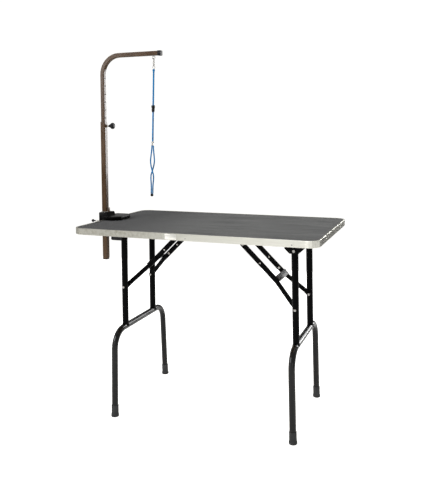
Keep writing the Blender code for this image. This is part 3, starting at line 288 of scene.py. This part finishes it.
def mat_rubber():
    """The mat: dark rubber, its pebbles and dust lying along the ribs, painted shade towards its -X
    end and in the pebbles' hollows.
    """
    material, tree, shader = start("mat_rubber", Specular_IOR_Level=0.45)
    where = place(tree)
    along = place(tree, (0.18, 1, 1))
    streak = noise(tree, along, 30.0, 5.0, 0.65)
    broad = noise(tree, where, 2.6, 3.0)
    pebble = add(tree, "ShaderNodeTexVoronoi", {"Vector": where, "Scale": 520.0}
                 ).outputs["Distance"]
    tone = mixed(tree, remap(tree, streak, 0.35, 0.7), (0.040, 0.041, 0.041),
                 (0.120, 0.121, 0.119))
    tone = mixed(tree, remap(tree, broad, 0.35, 0.7, 0.0, 0.8), tone, (0.100, 0.101, 0.099))
    length = add(tree, "ShaderNodeSeparateXYZ", {"Vector": where}).outputs[0]
    # Painted shade: the mat darkens towards its -X end.
    tone = mixed(tree, remap(tree, length, 0.02, -0.26, 0.0, 0.9), tone, (0.036, 0.036, 0.037))
    # Painted shade: darker in the pebbles' hollows, where the bump sinks.
    tone = mixed(tree, remap(tree, pebble, 0.1, 0.6, 0.35, 0.0), tone, (0.035, 0.035, 0.035))
    tree.links.new(tone, shader.inputs["Base Color"])
    tree.links.new(remap(tree, streak, 0.3, 0.8, 0.55, 0.75), shader.inputs["Roughness"])
    normal = bump(tree, pebble, 0.0003, 0.7)
    tree.links.new(bump(tree, streak, 0.0002, 0.3, normal), shader.inputs["Normal"])
    return material


def board_wood():
    """Particle board: chips of several tones, pressed flat, with a resin sheen."""
    material, tree, shader = start("board_wood")
    where = place(tree)
    chips = add(tree, "ShaderNodeTexVoronoi", {"Vector": place(tree, (1, 2.4, 1), (0, 0, 0.5)),
                                               "Scale": 150.0}).outputs["Color"]
    chip = add(tree, "ShaderNodeSeparateColor", {"Color": chips}).outputs[0]
    fine = noise(tree, where, 600.0, 4.0)
    tone = mixed(tree, chip, (0.52, 0.37, 0.22), (0.34, 0.22, 0.12))
    tone = mixed(tree, remap(tree, fine, 0.4, 0.7, 0.0, 0.5), tone, (0.60, 0.46, 0.30))
    tree.links.new(tone, shader.inputs["Base Color"])
    tree.links.new(remap(tree, chip, 0, 1, 0.45, 0.7), shader.inputs["Roughness"])
    tree.links.new(bump(tree, fine, 0.0002, 0.6), shader.inputs["Normal"])
    return material


def cord_fibre(name, colour, dark):
    """Braided nylon: fine filaments along the cord, painted shade between the plaits."""
    material, tree, shader = start(name, Sheen_Weight=0.08, Sheen_Roughness=0.4,
                                   Specular_IOR_Level=0.2)
    filament = noise(tree, place(tree, (1, 1, 0.15), (0.5, 0.3, 0)), 2600.0, 2.0)
    tone_at = noise(tree, place(tree), 240.0, 3.0)
    painted_shade_between_plaits = add(tree, "ShaderNodeNewGeometry").outputs["Pointiness"]
    tone = mixed(tree, remap(tree, tone_at, 0.35, 0.7), colour, dark)
    # Painted shade: darker where the surface hollows between the plaits.
    tone = mixed(tree, remap(tree, painted_shade_between_plaits, 0.5, 0.42, 0.0, 0.8), tone, dark)
    tone = mixed(tree, remap(tree, filament, 0.5, 0.8, 0.0, 0.4), tone,
                 tuple(min(1.0, c * 1.6 + 0.02) for c in colour))
    tree.links.new(tone, shader.inputs["Base Color"])
    tree.links.new(remap(tree, filament, 0.3, 0.8, 0.45, 0.7), shader.inputs["Roughness"])
    tree.links.new(bump(tree, filament, 0.00012, 0.8), shader.inputs["Normal"])
    return material


LOOKS = {
    "black_powder_coat": painted("black_powder_coat", (0.0010, 0.0010, 0.0012),
                                 (0.0022, 0.0022, 0.0025), 0.26, wear=(0.010, 0.010, 0.010),
                                 coat=0.0, shine=0.04),
    "black_gloss_coat": painted("black_gloss_coat", (0.0012, 0.0012, 0.0014),
                                (0.0030, 0.0030, 0.0034), 0.24, peel=0.00005,
                                wear=(0.012, 0.012, 0.012), coat=0.0, shine=0.32),
    "brown_powder_coat": painted("brown_powder_coat", (0.048, 0.023, 0.0075),
                                 (0.070, 0.036, 0.014), 0.28, wear=(0.11, 0.065, 0.03),
                                 coat=0.12, shine=0.22),
    "aluminium": trim_metal(),
    "zinc": plated("zinc", (0.50, 0.49, 0.47), (0.30, 0.29, 0.275), 0.28),
    "joint_metal": brushed("joint_metal", (0.90, 0.89, 0.84), (0.72, 0.71, 0.66), 0.30, 0),
    "satin_steel": brushed("satin_steel", (0.018, 0.018, 0.019), (0.010, 0.010, 0.011), 0.42, 1),
    "mat_rubber": mat_rubber(),
    "wood": board_wood(),
    "black_rubber": rubber("black_rubber", (0.013, 0.014, 0.015), (0.036, 0.037, 0.039), 0.62,
                           900.0, 0.00012),
    "black_plastic": rubber("black_plastic", (0.006, 0.006, 0.007), (0.013, 0.013, 0.015), 0.36,
                            500.0, 0.00004, 0.15),
    "blue_cord": cord_fibre("blue_cord", (0.006, 0.190, 0.450), (0.004, 0.090, 0.230)),
}


def finish_node(node, look):
    data = NODES[node].data
    data.materials.clear()
    data.materials.append(LOOKS[look])


# ---------------------------------------------------------------- geometry helpers
def circle(radius, count):
    return [(radius * math.cos(2 * math.pi * i / count), radius * math.sin(2 * math.pi * i / count))
            for i in range(count)]


SHARP_ANGLE = 38.0              # degrees; an edge that turns further than this is drawn sharp


def finish_mesh(bm, name, sharp=SHARP_ANGLE):
    bmesh.ops.recalc_face_normals(bm, faces=bm.faces)
    mesh = bpy.data.meshes.new(name)
    bm.to_mesh(mesh)
    bm.free()
    mesh.shade_smooth()
    mesh.set_sharp_from_angle(angle=math.radians(sharp))
    return mesh


def loft(rings, name, cyclic=False, sharp=SHARP_ANGLE):
    """A solid through rings of points; a cyclic one joins its last ring to its first."""
    bm = bmesh.new()
    loops = [[bm.verts.new(point) for point in ring] for ring in rings]
    count = len(loops[0])
    for i in range(len(loops) if cyclic else len(loops) - 1):
        this, following = loops[i], loops[(i + 1) % len(loops)]
        for j in range(count):
            after = (j + 1) % count
            bm.faces.new((this[j], this[after], following[after], following[j]))
    if not cyclic:
        bm.faces.new(loops[0])
        bm.faces.new(loops[-1])
    return finish_mesh(bm, name, sharp)


def show(name, mesh, look, body, stands_for=(), place_at=None):
    """A visible piece, in place, riding on its body."""
    piece = bpy.data.objects.new(name, mesh)
    bpy.context.scene.collection.objects.link(piece)
    if place_at is not None:
        piece.matrix_world = place_at
    if not mesh.materials:
        mesh.materials.append(LOOKS[look])
    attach(piece, body)
    if stands_for:
        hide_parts(*stands_for)
    return piece


def towards(axis):
    """The turn that brings +Z to the given direction."""
    return Vector((0, 0, 1)).rotation_difference(Vector(axis)).to_matrix().to_4x4()


# ---------------------------------------------------------------- cords
LEASH_X = -0.2605 + FRAME_SHIFT_X
LEASH_Y = -0.010
LEASH_LEAN = math.radians(1.65)
LEASH_PIVOT_Z = 1.4073          # the middle of the snap's bore, about which the leash leans
LINE_TOP_Z = 1.3742
LINE_BOTTOM_Z = 1.0883
LINE_DIAMETER = 0.0074
NOOSE_DIAMETER = 0.0058
NOOSE_STATIONS = (
    # height, distance from the hanging line, half turns about it
    (1.0717, 0.0032, 0.00), (1.0550, 0.0040, 0.00), (1.0350, 0.0062, 0.02),
    (1.0100, 0.0080, 0.10), (0.9900, 0.0066, 0.28), (0.9700, 0.0038, 0.55),
    (0.9500, 0.0075, 0.86), (0.9320, 0.0060, 1.00), (0.9120, 0.0040, 1.06),
    (0.8920, 0.0032, 1.10), (0.8720, 0.0032, 1.10),
)


def smooth_route(points, spacing):
    """Evenly spaced points of a Catmull-Rom curve through the route's points."""
    padded = [2 * points[0] - points[1]] + points + [2 * points[-1] - points[-2]]
    fine = []
    for i in range(1, len(padded) - 2):
        p0, p1, p2, p3 = padded[i - 1:i + 3]
        for k in range(40):
            t = k / 40
            fine.append(0.5 * (2 * p1 + (p2 - p0) * t + (2 * p0 - 5 * p1 + 4 * p2 - p3) * t ** 2
                               + (3 * p1 - p0 - 3 * p2 + p3) * t ** 3))
    fine.append(points[-1].copy())
    reach = [0.0]
    for a, b in zip(fine, fine[1:]):
        reach.append(reach[-1] + (b - a).length)
    count = max(2, round(reach[-1] / spacing))
    out, j = [], 0
    for i in range(count + 1):
        target = reach[-1] * i / count
        while j < len(reach) - 2 and reach[j + 1] < target:
            j += 1
        share = (target - reach[j]) / (reach[j + 1] - reach[j])
        out.append(fine[j].lerp(fine[j + 1], min(max(share, 0), 1)))
    return out, reach[-1]


PLAITS = 6


def braided(name, path, length, diameter, sides=24):
    """A braided cord along a path: two sets of plaits wound opposite ways, over and under."""
    radius = diameter / 2
    relief = radius * 0.13
    pitch = diameter * 2.1
    rings = []
    for i, point in enumerate(path):
        along = (path[min(i + 1, len(path) - 1)] - path[max(i - 1, 0)]).normalized()
        side = (Vector((1, 0, 0)) - along * along.x).normalized()
        third = along.cross(side)
        reach = length * i / (len(path) - 1)
        ring = []
        for j in range(sides):
            turn = 2 * math.pi * j / sides
            wind = 2 * math.pi * reach / pitch
            right = math.cos(PLAITS / 2 * turn + wind)
            left = math.cos(PLAITS / 2 * turn - wind)
            height = max(abs(right), abs(left)) ** 2
            out = radius - relief * (1 - height)
            ring.append(point + side * (out * math.cos(turn)) + third * (out * math.sin(turn)))
        rings.append(ring)
    return loft(rings, name, sharp=80.0)


def hanging(across, aside, height):
    """A place on the leaning leash, given as if it hung plumb."""
    pivot = Vector((LEASH_X, LEASH_Y, LEASH_PIVOT_Z))
    lean = Matrix.Rotation(LEASH_LEAN, 3, "Y")
    return pivot + lean @ Vector((across, aside, height - LEASH_PIVOT_Z))


def noose_route(sign):
    route = []
    for height, spread, half_turns in NOOSE_STATIONS:
        turn = math.pi * half_turns
        route.append(hanging(sign * spread * math.cos(turn), sign * spread * math.sin(turn),
                             height))
    return route


def make_cords():
    top = hanging(0, 0, LINE_TOP_Z)
    bottom = hanging(0, 0, LINE_BOTTOM_Z)
    length = (top - bottom).length
    rows = 260
    path = [top.lerp(bottom, i / rows) for i in range(rows + 1)]
    line = show("leash_line_braid", braided("leash_line_braid", path, length, LINE_DIAMETER),
                "blue_cord", "leash", ["leash_line"])
    for label, sign in (("left", -1), ("right", 1)):
        path, length = smooth_route(noose_route(sign), 0.0010)
        name = f"noose_{label}_braid"
        strand = show(name, braided(name, path, length, NOOSE_DIAMETER, sides=20), "blue_cord",
                      "leash", [f"noose_{label}_strand"])


make_cords()


# ---------------------------------------------------------------- carried-over pieces
def choose_looks():
    looks = {
        "tabletop_board": "wood", "edge_trim": "aluminium", "trim_joint_plate": "joint_metal",
        "clamp_body": "black_powder_coat", "clamp_pressure_pad": "black_rubber",
        "clamp_screw": "zinc", "clamp_wing_knob": "black_plastic", "post_lock_screw": "black_plastic",
        "arm_post": "brown_powder_coat", "post_bottom_plug": "black_plastic",
        "bent_arm": "brown_powder_coat", "arm_end_cap": "black_plastic",
        "height_knob": "black_plastic", "leash_eye": "zinc", "leash_snap": "zinc",
        "leash_swivel": "zinc", "leash_top_knot": "blue_cord", "leash_crimp": "zinc",
        "leash_slide_lock": "black_plastic", "noose_end_ball": "black_plastic",
        "rubber_mat": "mat_rubber", "leash_line": "blue_cord",
        "noose_left_strand": "blue_cord", "noose_right_strand": "blue_cord",
    }
    for node in NODES:
        if node.endswith(("_bolt", "_rod")):
            looks[node] = "zinc"
        elif node.endswith("_rubber_foot"):
            looks[node] = "black_rubber"
        elif node.endswith("_tie_plate"):
            looks[node] = "satin_steel"
        elif node.endswith("_lower_tube"):
            looks[node] = "black_gloss_coat"
        looks.setdefault(node, "black_powder_coat")
    return looks


NODE_LOOKS = choose_looks()
for node_name, look_name in NODE_LOOKS.items():
    finish_node(node_name, look_name)


def softened(node, width):
    """The CAD piece with its sharp edges rounded, standing for it."""
    bm = bmesh.new()
    bm.from_mesh(NODES[node].data)
    bmesh.ops.remove_doubles(bm, verts=bm.verts, dist=2e-6)
    bmesh.ops.dissolve_limit(bm, angle_limit=math.radians(0.6), verts=bm.verts, edges=bm.edges)
    edges = [e for e in bm.edges if len(e.link_faces) == 2
             and e.calc_face_angle(0.0) > math.radians(50)]
    bmesh.ops.bevel(bm, geom=edges, offset=width, segments=2, profile=0.5,
                    affect="EDGES", clamp_overlap=True)
    bmesh.ops.remove_doubles(bm, verts=bm.verts, dist=1e-6)
    mesh = finish_mesh(bm, node + "_soft", 40.0)
    return show(node + "_soft", mesh, NODE_LOOKS[node], BODY_OF[node], [node])


def make_mat():
    """The mat with fine ribs along the table, its outline the board's rounded rectangle."""
    low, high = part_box("rubber_mat")
    half_x, half_y = (high.x - low.x) / 2, (high.y - low.y) / 2
    middle_x, middle_y = (high.x + low.x) / 2, (high.y + low.y) / 2
    corner = 0.0435
    rib_pitch, rib_depth = 0.0042, 0.0005
    first_rib, plain_edge, inset = 0.3, 0.0004, 0.00001
    profile = ((0.0, 1.0), (0.12, 0.0), (0.30, 0.0), (0.42, 1.0))

    def reach(y):
        over = abs(y) - (half_y - corner)
        if over <= 0:
            return half_x
        return half_x - corner + math.sqrt(max(corner ** 2 - over ** 2, 0))

    stations = []
    ribs = int(2 * half_y / rib_pitch)
    for i in range(ribs):
        for share, depth in profile:
            y = -half_y + rib_pitch * (i + first_rib + share)
            if abs(y) < half_y - plain_edge:
                stations.append((y, depth * rib_depth))
    stations = [(-half_y, 0.0)] + stations + [(half_y, 0.0)]
    bm = bmesh.new()
    top, bottom = [], []
    for y, depth in stations:
        x = reach(y) - inset
        top.append([bm.verts.new((middle_x + s * x, middle_y + y, high.z - depth))
                    for s in (-1, 1)])
        bottom.append([bm.verts.new((middle_x + s * x, middle_y + y, low.z)) for s in (-1, 1)])
    for i in range(len(stations) - 1):
        bm.faces.new((top[i][0], top[i][1], top[i + 1][1], top[i + 1][0]))
        bm.faces.new((bottom[i][1], bottom[i][0], bottom[i + 1][0], bottom[i + 1][1]))
        for side in (0, 1):
            bm.faces.new((top[i][side], top[i + 1][side], bottom[i + 1][side], bottom[i][side]))
    for i in (0, -1):
        bm.faces.new((top[i][0], top[i][1], bottom[i][1], bottom[i][0]))
    show("ribbed_mat", finish_mesh(bm, "ribbed_mat", 30.0), "mat_rubber", "table",
         ["rubber_mat"])


make_mat()


# ---------------------------------------------------------------- small hardware
PIVOTS = {"left": (-0.346 + FRAME_SHIFT_X, 0.7195), "right": (0.357 + FRAME_SHIFT_X, 0.6925)}
LEG_LEAN = {"left": 0.0, "right": math.radians(1.08)}
OUTWARD = {"left": -1, "right": 1}
STAY_REACH = 0.2195
UPRIGHT_Y = 0.125
UPRIGHT_RADIUS = 0.0127
LOWER_TUBE_RADIUS = 0.0125
LOWER_TUBE_Z = 0.337
FITTING_UNDERSIDE_Z = 0.7349    # lower face of the sheet screwed under the board
POST_X, POST_Y = -0.4995 + FRAME_SHIFT_X, -0.010
CLAMP_TOP_Z = 0.788
CLAMP_STUB_X = -0.4815 + FRAME_SHIFT_X
HEIGHT_SCREW_Z = 1.1545
LOCK_SCREW_X, LOCK_SCREW_Z = -0.5475 + FRAME_SHIFT_X, 0.7463
TRIM_HALF_X, TRIM_HALF_Y, TRIM_MIDDLE_Z = 0.4775, 0.304, 0.7443
BRACKET_SCREW_X, BRACKET_SCREW_Y = 0.028, 0.0234    # screws, from the middle of a bracket
ANCHOR_SCREW_X, ANCHOR_SCREW_Y = 0.014, 0.030       # and from the middle of an anchor
STAY_RIVET_REACH = 0.0985       # from the stay's rod to the rivet of the tie plate's lug
WELD_RADIUS, WELD_RIPPLES, WELD_POINTS = 0.0015, 32, 96
WELD_OUTSIDE, WELD_ABOVE = 0.0002, 0.0008           # off the upright, and off the cross run
CORNERS = ((-1, -1), (1, -1), (-1, 1), (1, 1))


HEAD_SIDES = 24


def lathe(profile, name):
    """A solid turned about Z from (radius, height) pairs, its ends closed flat."""
    rings = [[Vector((radius * x, radius * y, height)) for x, y in circle(1.0, HEAD_SIDES)]
             for radius, height in profile]
    return loft(rings, name)


def screw_head(radius, height, name):
    """A domed head with a hexagon socket, standing on z = 0."""
    def hexagon(across, level):
        ring = []
        for x, y in circle(1.0, HEAD_SIDES):
            turn = math.atan2(y, x) % (math.pi / 3) - math.pi / 6
            reach = across / math.cos(turn)
            ring.append(Vector((reach * x, reach * y, level)))
        return ring

    dome = ((0.95, 0.0), (1.0, 0.10), (1.0, 0.34), (0.88, 0.70), (0.68, 0.93), (0.56, 1.0))
    rings = [[Vector((radius * wide * x, radius * wide * y, height * high))
              for x, y in circle(1.0, HEAD_SIDES)] for wide, high in dome]
    rings += [hexagon(radius * 0.42, height), hexagon(radius * 0.40, height * 0.45)]
    return loft(rings, name)


def rivet_head(radius, height, name):
    profile = ((0.98, 0.0), (1.0, 0.08), (0.93, 0.45), (0.76, 0.74), (0.50, 0.93), (0.2, 1.0))
    return lathe([(radius * wide, height * high) for wide, high in profile], name)


def fix(name, mesh, look, node, at, axis):
    """A small piece on the body that carries a CAD node, standing along an axis."""
    return show(name, mesh, look, BODY_OF[node],
                place_at=Matrix.Translation(Vector(at)) @ towards(axis))


def make_trim_screws():
    head = screw_head(0.0030, 0.0010, "trim_screw_head")
    spots = [(-0.002, -TRIM_HALF_Y, (0, -1, 0)), (0.3877, -TRIM_HALF_Y, (0, -1, 0)),
             (-0.300, TRIM_HALF_Y, (0, 1, 0)), (0.030, TRIM_HALF_Y, (0, 1, 0)),
             (0.340, TRIM_HALF_Y, (0, 1, 0)),
             (TRIM_HALF_X, -0.150, (1, 0, 0)), (TRIM_HALF_X, 0.150, (1, 0, 0)),
             (-TRIM_HALF_X, 0.180, (-1, 0, 0))]
    for i, (x, y, axis) in enumerate(spots):
        fix(f"trim_screw_{i + 1}", head, "zinc", "edge_trim",
            (x + FRAME_SHIFT_X, y, TRIM_MIDDLE_Z), axis)


def make_fitting_screws():
    """Screws that hold the leg brackets and the stay anchors under the board."""
    head = screw_head(0.0036, 0.0018, "fitting_screw_head")
    for side, (pivot_x, _) in PIVOTS.items():
        for row, sign in (("near", -1), ("far", 1)):
            for i, (along, across) in enumerate(CORNERS):
                at = (pivot_x + BRACKET_SCREW_X * along,
                      sign * UPRIGHT_Y + BRACKET_SCREW_Y * across, FITTING_UNDERSIDE_Z)
                fix(f"{side}_{row}_bracket_screw_{i + 1}", head, "zinc",
                    f"{side}_{row}_leg_bracket", at, (0, 0, -1))
        anchor_x = pivot_x - OUTWARD[side] * STAY_REACH
        for i, (along, across) in enumerate(CORNERS):
            at = (anchor_x + ANCHOR_SCREW_X * along, ANCHOR_SCREW_Y * across,
                  FITTING_UNDERSIDE_Z)
            fix(f"{side}_anchor_screw_{i + 1}", head, "zinc", f"{side}_stay_anchor", at,
                (0, 0, -1))


def make_stay_rivets():
    """Bright rivets of the tie plate's lugs on the upper stays, and the far knuckles' tails."""
    small = rivet_head(0.0035, 0.0012, "stay_rivet_head")
    large = rivet_head(0.0048, 0.0016, "knuckle_rivet_tail")
    near_face, far_face = -0.0656, 0.0624
    for side, (pivot_x, pivot_z) in PIVOTS.items():
        sign, lean = OUTWARD[side], LEG_LEAN[side]
        anchor = Vector((pivot_x - sign * STAY_REACH, 0, pivot_z))
        bolt = Vector((pivot_x + sign * STAY_REACH * math.sin(lean), 0,
                       pivot_z - STAY_REACH * math.cos(lean)))
        along = (bolt - anchor).normalized()
        knuckle = (anchor + bolt) / 2
        spot = anchor + along * STAY_RIVET_REACH
        fix(f"{side}_near_stay_rivet", small, "zinc", f"{side}_near_upper_stay",
            (spot.x, near_face, spot.z), (0, -1, 0))
        fix(f"{side}_far_stay_rivet", small, "zinc", f"{side}_far_upper_stay",
            (spot.x, far_face, spot.z), (0, -1, 0))
        fix(f"{side}_far_knuckle_rivet", large, "zinc", f"{side}_far_upper_stay",
            (knuckle.x, far_face, knuckle.z), (0, -1, 0))


def bead(path, radius, name, ripples):
    """A closed weld bead along a ring of points, with its overlapping ripples."""
    rings = []
    for i, point in enumerate(path):
        along = (path[(i + 1) % len(path)] - path[i - 1]).normalized()
        side = along.cross(Vector((0, 0, 1)))
        if side.length < 0.1:
            side = along.cross(Vector((1, 0, 0)))
        side.normalize()
        third = along.cross(side)
        share = (i * ripples / len(path)) % 1.0
        reach = radius * (0.82 + 0.22 * math.sin(math.pi * share))
        rings.append([point + (side * x + third * y) * reach for x, y in circle(1.0, 10)])
    return loft(rings, name, cyclic=True, sharp=60.0)


def make_welds():
    for side, (pivot_x, pivot_z) in PIVOTS.items():
        lean = LEG_LEAN[side]
        turn = Matrix.Rotation(-OUTWARD[side] * lean, 4, "Y")
        leg = Matrix.Translation((pivot_x, 0, pivot_z)) @ turn
        run_z = (LOWER_TUBE_Z - pivot_z) / math.cos(lean)
        path = []
        for x, y in circle(UPRIGHT_RADIUS + WELD_OUTSIDE, WELD_POINTS):
            drop = max(LOWER_TUBE_RADIUS ** 2 - x ** 2, 0.0)
            path.append(Vector((x, y, run_z + math.sqrt(drop) + WELD_ABOVE)))
        mesh = bead(path, WELD_RADIUS, side + "_leg_weld", WELD_RIPPLES)
        for row, sign in (("near", -1), ("far", 1)):
            node = f"{side}_{row}_upright"
            show(f"{side}_{row}_leg_weld", mesh, "black_powder_coat", BODY_OF[node],
                 place_at=leg @ Matrix.Translation((0, sign * UPRIGHT_Y, 0)))


def threaded(low, high, core, crest, pitch, bore, name):
    """A threaded sleeve along Z round a shank: a helical ridge from core to crest."""
    sides = 24
    steps = int((high - low) / pitch * 4)
    rings = []
    for i in range(steps + 1):
        z = low + (high - low) * i / steps
        ring = []
        for j, (x, y) in enumerate(circle(1.0, sides)):
            wave = math.cos(2 * math.pi * (z - low) / pitch - 2 * math.pi * j / sides)
            radius = core + (crest - core) * (0.5 + 0.5 * wave)
            ring.append(Vector((radius * x, radius * y, z)))
        rings.append(ring)
    inner = [[Vector((bore * x, bore * y, z)) for x, y in circle(1.0, sides)]
             for z in (high, low)]
    return loft(rings + inner, name, cyclic=True, sharp=80.0)


def make_clamp_details():
    """A bright zinc ring round the post on the clamp, a painted highlight there, and the stub welded
    beside it.
    """
    hole, rim = 0.0118, 0.0142

    def rounded_square(half, corner):
        points = []
        for quarter in range(4):
            middle = Matrix.Rotation(math.pi / 2 * quarter, 2) @ Vector((half - corner,
                                                                         half - corner))
            for i in range(6):
                turn = math.pi / 2 * (quarter + i / 5)
                points.append(middle + corner * Vector((math.cos(turn), math.sin(turn))))
        return points

    # Painted highlight: a thin bright zinc ring laid round the post on top of the clamp.
    rings = []
    for half, level in ((hole, 0.0001), (rim, 0.0001), (rim, 0.0007), (rim - 0.0004, 0.0011),
                        (hole + 0.0004, 0.0011), (hole, 0.0007)):
        rings.append([Vector((POST_X + p.x, POST_Y + p.y, CLAMP_TOP_Z + level))
                      for p in rounded_square(half, half * 0.22)])
    show("clamp_top_ring", loft(rings, "clamp_top_ring", cyclic=True), "zinc",
         BODY_OF["clamp_body"])
    rings = []
    for half, level in ((0.0026, 0.0001), (0.0030, 0.0006), (0.0030, 0.0160), (0.0024, 0.0178),
                        (0.0012, 0.0184)):
        rings.append([Vector((CLAMP_STUB_X + p.x, POST_Y + 1.6 * p.y, CLAMP_TOP_Z + level))
                      for p in rounded_square(half, half * 0.45)])
    show("clamp_top_stub", loft(rings, "clamp_top_stub"), "brown_powder_coat",
         BODY_OF["clamp_body"])


def make_screw_threads():
    """Threads of the height screw, the clamp screw and the post's lock screw."""
    mesh = threaded(low=0.0168, high=0.0252, core=0.0038, crest=0.0043, pitch=0.0012,
                    bore=0.00355, name="height_screw_thread")
    show("height_screw_thread", mesh, "zinc", BODY_OF["height_knob"],
         place_at=Matrix.Translation((POST_X, POST_Y, HEIGHT_SCREW_Z)) @ towards((1, 0, 0)))
    low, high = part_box("clamp_pressure_pad")
    centre = ((low.x + high.x) / 2, (low.y + high.y) / 2, 0)
    mesh = threaded(low=0.7132, high=0.7230, core=0.0050, crest=0.00514, pitch=0.0015,
                    bore=0.00495, name="clamp_screw_thread")
    show("clamp_screw_thread", mesh, "zinc", BODY_OF["clamp_screw"],
         place_at=Matrix.Translation(centre))
    mesh = threaded(low=0.0, high=0.0290, core=0.0031, crest=0.0035, pitch=0.0010,
                    bore=0.00295, name="lock_screw_thread")
    show("lock_screw_thread", mesh, "zinc", BODY_OF["post_lock_screw"],
         place_at=Matrix.Translation((LOCK_SCREW_X, POST_Y, LOCK_SCREW_Z))
         @ towards((1, 0, 0)))


def make_knot():
    """The cord wound round itself under the swivel's ring."""
    top, bottom, coil, wire, turns, sides = 1.3822, 1.3762, 0.0036, 0.0015, 2.5, 12
    rings = []
    steps = 90
    for i in range(steps + 1):
        share = i / steps
        angle = 2 * math.pi * turns * share
        middle = Vector((coil * math.cos(angle), coil * math.sin(angle),
                         top + (bottom - top) * share))
        outward = Vector((math.cos(angle), math.sin(angle), 0))
        ring = []
        for x, y in circle(wire * min(1.0, 0.5 + 5 * share, 0.5 + 5 * (1 - share)), sides):
            point = middle + outward * x + Vector((0, 0, y))
            ring.append(hanging(point.x, point.y, point.z))
        rings.append(ring)
    show("leash_knot_coil", loft(rings, "leash_knot_coil", sharp=80.0), "blue_cord",
         BODY_OF["leash_top_knot"])


def soften_metal_pieces():
    widths = (("_leg_bracket", 0.0012), (("_upper_stay", "_lower_stay"), 0.0006),
              (("_stay_anchor", "_tie_plate"), 0.0008), ("clamp_body", 0.0018),
              ("trim_joint_plate", 0.0003))
    for ending, width in widths:
        for node in [n for n in NODES if n.endswith(ending)]:
            softened(node, width)


make_clamp_details()
make_screw_threads()
make_knot()
make_trim_screws()
make_fitting_screws()
make_stay_rivets()
make_welds()
soften_metal_pieces()


# ---------------------------------------------------------------- stage
WHITE_FLOOR = (0.93, 0.93, 0.92, 1.0)
FLOOR_Z = -0.0006
FLOOR_GLOW, FLOOR_GLOW_SEEN = 0.10, 0.80        # emission to the scene, and to the camera
WORLD_STRENGTH, WORLD_STRENGTH_SEEN = 0.50, 1.05
DARK_SIDE = (0.16, 0.97, -0.16)                 # the way the sky fades, behind the table
DARK_FROM, DARK_TO, DARK_SHARE = 0.70, 0.92, 0.03


def make_stage():
    near, far, side = -14.0, 2.6, 16.0
    mesh = bpy.data.meshes.new("floor")
    mesh.from_pydata([(-side, near, FLOOR_Z), (side, near, FLOOR_Z), (side, far, FLOOR_Z),
                      (-side, far, FLOOR_Z)], [], [(0, 1, 2, 3)])
    floor = bpy.data.objects.new("floor", mesh)
    bpy.context.scene.collection.objects.link(floor)
    material, tree, shader = start("floor", Roughness=0.9)
    shader.inputs["Emission Color"].default_value = WHITE_FLOOR
    speck = noise(tree, place(tree), 3.0, 2.0)
    tree.links.new(mixed(tree, speck, WHITE_FLOOR[:3], (0.90, 0.90, 0.89)),
                   shader.inputs["Base Color"])
    seen = add(tree, "ShaderNodeLightPath").outputs["Is Camera Ray"]
    glow = remap(tree, seen, 0, 1, FLOOR_GLOW, FLOOR_GLOW_SEEN)
    tree.links.new(glow, shader.inputs["Emission Strength"])
    mesh.materials.append(material)

    world = bpy.data.worlds.new("studio")
    world.use_nodes = True
    bpy.context.scene.world = world
    tree = world.node_tree
    tree.nodes.clear()
    direction = add(tree, "ShaderNodeTexCoord").outputs["Generated"]
    away = add(tree, "ShaderNodeVectorMath", {0: direction, 1: DARK_SIDE},
               operation="DOT_PRODUCT").outputs["Value"]
    dim = remap(tree, away, DARK_FROM, DARK_TO, 1.0, DARK_SHARE)
    bright = maths(tree, "MULTIPLY", dim, WORLD_STRENGTH)
    seen = add(tree, "ShaderNodeLightPath").outputs["Is Camera Ray"]
    strength = add(tree, "ShaderNodeMix", {0: seen, 2: bright, 3: WORLD_STRENGTH_SEEN}).outputs[0]
    background = add(tree, "ShaderNodeBackground", {"Color": (1.0, 0.995, 0.98, 1.0),
                                                    "Strength": strength})
    output = add(tree, "ShaderNodeOutputWorld")
    tree.links.new(background.outputs[0], output.inputs["Surface"])

    for name, at, aim, width, height, power in (
            ("key", (-2.6, -2.6, 2.4), (0, 0, 0.5), 1.2, 2.4, 95.0),
            ("front", (1.4, -4.2, 1.6), (0, 0, 0.6), 2.6, 2.6, 25.0),
            ("top", (0.2, 0.4, 3.6), (0, 0, 0.7), 2.6, 2.6, 62.0),
            ("back", (1.87, 3.6, 1.40), (-0.45, 0, 1.15), 0.85, 1.45, 60.0)):
        data = bpy.data.lights.new(name, "AREA")
        data.shape = "RECTANGLE"
        data.size = width
        data.size_y = height
        data.energy = power
        light = bpy.data.objects.new(name, data)
        bpy.context.scene.collection.objects.link(light)
        turn = (Vector(aim) - Vector(at)).to_track_quat("-Z", "Y")
        light.matrix_world = Matrix.Translation(at) @ turn.to_matrix().to_4x4()
        light.visible_camera = False
    bpy.context.scene.view_settings.view_transform = "Standard"


make_stage()
